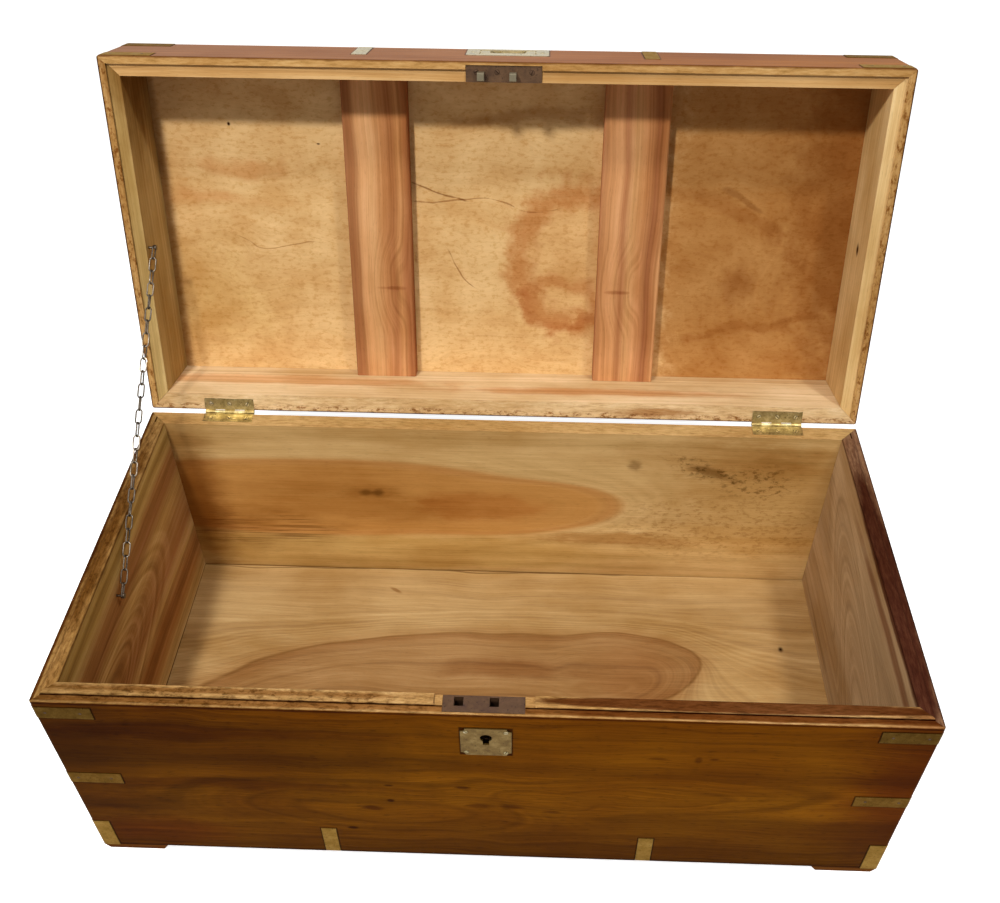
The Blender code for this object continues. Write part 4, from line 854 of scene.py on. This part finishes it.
plate = {"reach": (0.0205, 0.0187), "radius": 0.0024, "proud": 0.0009}
corners = [(a, b) for a in (-1, 1) for b in (-1, 1)]
reachX, reachZ = plate["reach"]
places = [onSide("front", keyX + a * reachX, -plate["proud"], keyZ + b * reachZ) for a, b in corners]
screwSet("screws_escutcheon", places, plate["radius"], brightBrass, "base")

staplePlate = {"columns": (-0.031, -0.0075, 0.0315), "depth": 0.0115, "face": 0.0026, "radius": 0.0026}
places = [
    lidPlace @ Matrix.Translation((x, -depth + staplePlate["depth"], staplePlate["face"])) @ overRim
    for x in staplePlate["columns"]
]
screwSet("screws_staple_plate", places, staplePlate["radius"], brownIron, "lid")

pull = {"middle": (0.0021, 0.0700), "reach": 0.0405, "proud": 0.0004, "radius": 0.0024}
pullX, pullZ = pull["middle"]
places = [onSide("front", pullX + a * pull["reach"], -pull["proud"], pullZ, True) for a in (-1, 1)]
screwSet("screws_lid_pull", places, pull["radius"], highlightBrass, "lid")

handle = {"reach": (0.0535, 0.0255), "z": -0.105, "proud": 0.0004, "radius": 0.0026}
reachX, reachZ = handle["reach"]
for side in ("left", "right"):
    places = [onSide(side, a * reachX, -handle["proud"], handle["z"] + b * reachZ) for a, b in corners]
    screwSet(f"screws_handle_{side}", places, handle["radius"], plateBrass, "base")

# the straps are held by filed pins, dark with dirt, two to a leg
pins = {
    "near": 0.012, "far": 0.048, "proud": 0.0005, "radius": 0.0014, "rise": 0.00006,
    "rows": {"base": (-0.0185, -0.1445), "lid": (0.0133, 0.0859)},
}
for where, rows in pins["rows"].items():
    for side in ("front", "back", "left", "right"):
        half = halfWidth if side in ("front", "back") else depth / 2
        places = [
            onSide(side, end * (half - away), -pins["proud"], z, where == "lid")
            for end in (-1, 1) for away in (pins["near"], pins["far"]) for z in rows
        ]
        screwSet(
            f"pins_{where}_{side}", places, pins["radius"], brownIron, where,
            slotWidth=0, rise=pins["rise"])
print("screws and pins set")


# Stay chain: 27 oval links of steel wire, each a bent ring with its own slight roll
chain = {
    "wire": 0.0009, "width": 0.0090, "count": 27, "lower": 13, "play": 0.0017, "sides": 10, "steps": 10,
    "roll": 0.16,    # of the links to and fro, and its rhythm from link to link
    "rhythm": (2.3, 0.7),
}
lowEye = Vector(joints["chain_lower_swing"]["pos_m"])
highEye = Vector(joints["chain_upper_swing"]["pos_m"])
along = (highEye - lowEye).normalized()
inner = ((highEye - lowEye).length + 2 * chain["play"]) / chain["count"]
bend = chain["width"] / 2 - chain["wire"]
straight = inner / 2 + chain["wire"] - bend


def addLink(bm, centre, roll):
    # a wire bent round one end, drawn along one leg, bent round the other end and closed
    first = bmesh.ops.create_circle(
        bm, cap_ends=False, segments=chain["sides"], radius=chain["wire"],
        matrix=Matrix.Translation((straight, -bend, 0)) @ Matrix.Rotation(math.pi / 2, 4, "Y"),
    )["verts"]
    mine = set(first)
    firstEdges = list({edge for vert in first for edge in vert.link_edges})
    edges = firstEdges
    for end in (1, -1):
        turned = bmesh.ops.spin(
            bm, geom=edges, cent=(end * straight, 0, 0), axis=(0, 0, 1), angle=math.pi,
            steps=chain["steps"],
        )["geom_last"]
        edges = ofKind(turned, bmesh.types.BMEdge)
        if end == 1:
            drawn = ofKind(bmesh.ops.extrude_edge_only(bm, edges=edges)["geom"], bmesh.types.BMEdge)
            edges = [edge for edge in drawn if len(edge.link_faces) == 1]
            drawnVerts = {vert for edge in edges for vert in edge.verts}
            bmesh.ops.translate(bm, vec=(-2 * straight, 0, 0), verts=list(drawnVerts))
    bmesh.ops.bridge_loops(bm, edges=edges + firstEdges)
    # every vertex linked to this ring
    stack = list(mine)
    while stack:
        for edge in stack.pop().link_edges:
            for vert in edge.verts:
                if vert not in mine:
                    mine.add(vert)
                    stack.append(vert)
    across = Vector((1, 0, 0))
    upwards = across.cross(along)
    axes = Matrix((along, upwards, across)).transposed().to_4x4()
    place = Matrix.Translation(centre) @ axes @ Matrix.Rotation(roll, 4, "X")
    bmesh.ops.transform(bm, matrix=place, verts=list(mine))


runs = {"chain_lower": range(chain["lower"]), "chain_upper": range(chain["lower"], chain["count"])}
step, begin = chain["rhythm"]
for run, numbers in runs.items():
    bm = bmesh.new()
    for k in numbers:
        place = lowEye + along * (inner / 2 - chain["play"] + k * inner)
        quarter = math.pi / 2 if k % 2 else 0
        addLink(bm, place, quarter + chain["roll"] * math.sin(step * k + begin))
    links = pieceFrom(bm, run + "_links", [steelWire], run)
    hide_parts(run)
print("chain hung:", chain["count"], "links")


# Floor, light and camera
studio = {"floorSize": 24.0, "floorLift": 0.80, "worldLevel": 0.28}
bm = bmesh.new()
bmesh.ops.create_grid(bm, x_segments=1, y_segments=1, size=studio["floorSize"] / 2)
floorMesh = bpy.data.meshes.new("studio_floor")
bm.to_mesh(floorMesh)
bm.free()
floor = bpy.data.objects.new("studio_floor", floorMesh)
scene.collection.objects.link(floor)
made, tree, shader, _ = newMaterial("white_seamless_paper")
tree.nodes.remove(shader)
paper = addNode(tree, "BsdfDiffuse", {"Color": hexColour("ebebea")}, "BSDF")
rays = tree.nodes.new("ShaderNodeLightPath").outputs
lift = addNode(tree, "Math", {0: rays["Is Camera Ray"], 1: studio["floorLift"]}, operation="MULTIPLY")
glow = addNode(tree, "Emission", {"Color": hexColour("ffffff"), "Strength": lift}, "Emission")
both = addNode(tree, "AddShader", {0: paper, 1: glow}, "Shader")
setInputs(tree, tree.nodes["Material Output"], {"Surface": both})
floorMesh.materials.append(made)

world = bpy.data.worlds.new("soft_studio")
world.use_nodes = True
scene.world = world
tree = world.node_tree
rays = tree.nodes.new("ShaderNodeLightPath").outputs
seen = rays["Is Camera Ray"]
for kind in ("Is Transmission Ray", "Is Glossy Ray"):
    seen = addNode(tree, "Math", {0: seen, 1: rays[kind]}, operation="MAXIMUM")
level = addNode(tree, "MapRange", {0: seen, 1: 0, 2: 1, 3: studio["worldLevel"], 4: 1.0})
setInputs(tree, tree.nodes["Background"], {"Strength": level, "Color": (1, 1, 1, 1)})


trunkMiddle = (0, (frontY + backY) / 2, rimZ)
backWall = (0, backY - board, rimZ * 0.3)


def addSoftbox(name, place, size, power, target=trunkMiddle, spread=180):
    light = bpy.data.lights.new(name, "AREA")
    light.shape = "RECTANGLE"
    light.size, light.size_y = size
    light.spread = math.radians(spread)
    light.energy = power
    lamp = bpy.data.objects.new(name, light)
    lamp.location = place
    lamp.rotation_euler = (Vector(target) - Vector(place)).to_track_quat("-Z", "Y").to_euler()
    scene.collection.objects.link(lamp)


addSoftbox("key_softbox", (-0.644, -0.91, 2.27), (0.16, 0.16), 38.0)
addSoftbox("fill_softbox", (0.795, -0.205, 2.27), (0.16, 0.16), 15.0)
# a grid keeps this one on the inside of the back
addSoftbox("wall_strip", (0.0, -1.30, 0.98), (1.4, 0.25), 1.2, target=backWall, spread=30)

camera = {
    "fromRim": Vector((0.0484, -1.0318, 0.9254)),   # from the middle of the base's back rim
    "yaw": math.radians(-1.656),
    "pitch": math.radians(42.33),
    "roll": math.radians(0.26),
    "lens": 38.48,
    "shift": (-0.0159, -0.0228),
}
yaw, pitch, roll = camera["yaw"], camera["pitch"], camera["roll"]
forward = Vector((math.sin(yaw) * math.cos(pitch), math.cos(yaw) * math.cos(pitch), -math.sin(pitch)))
right = Vector((math.cos(yaw), -math.sin(yaw), 0))
up = right.cross(forward)
c, s = math.cos(roll), math.sin(roll)
turned = Matrix((c * right + s * up, -s * right + c * up, -forward)).transposed()
lens = bpy.data.cameras.new("photo_camera")
lens.lens = camera["lens"]
lens.shift_x, lens.shift_y = camera["shift"]
photoCamera = bpy.data.objects.new("photo_camera", lens)
photoCamera.matrix_world = Matrix.Translation(rimBack + camera["fromRim"]) @ turned.to_4x4()
scene.collection.objects.link(photoCamera)
scene.camera = photoCamera
scene.view_settings.view_transform = "Standard"
print("studio ready")
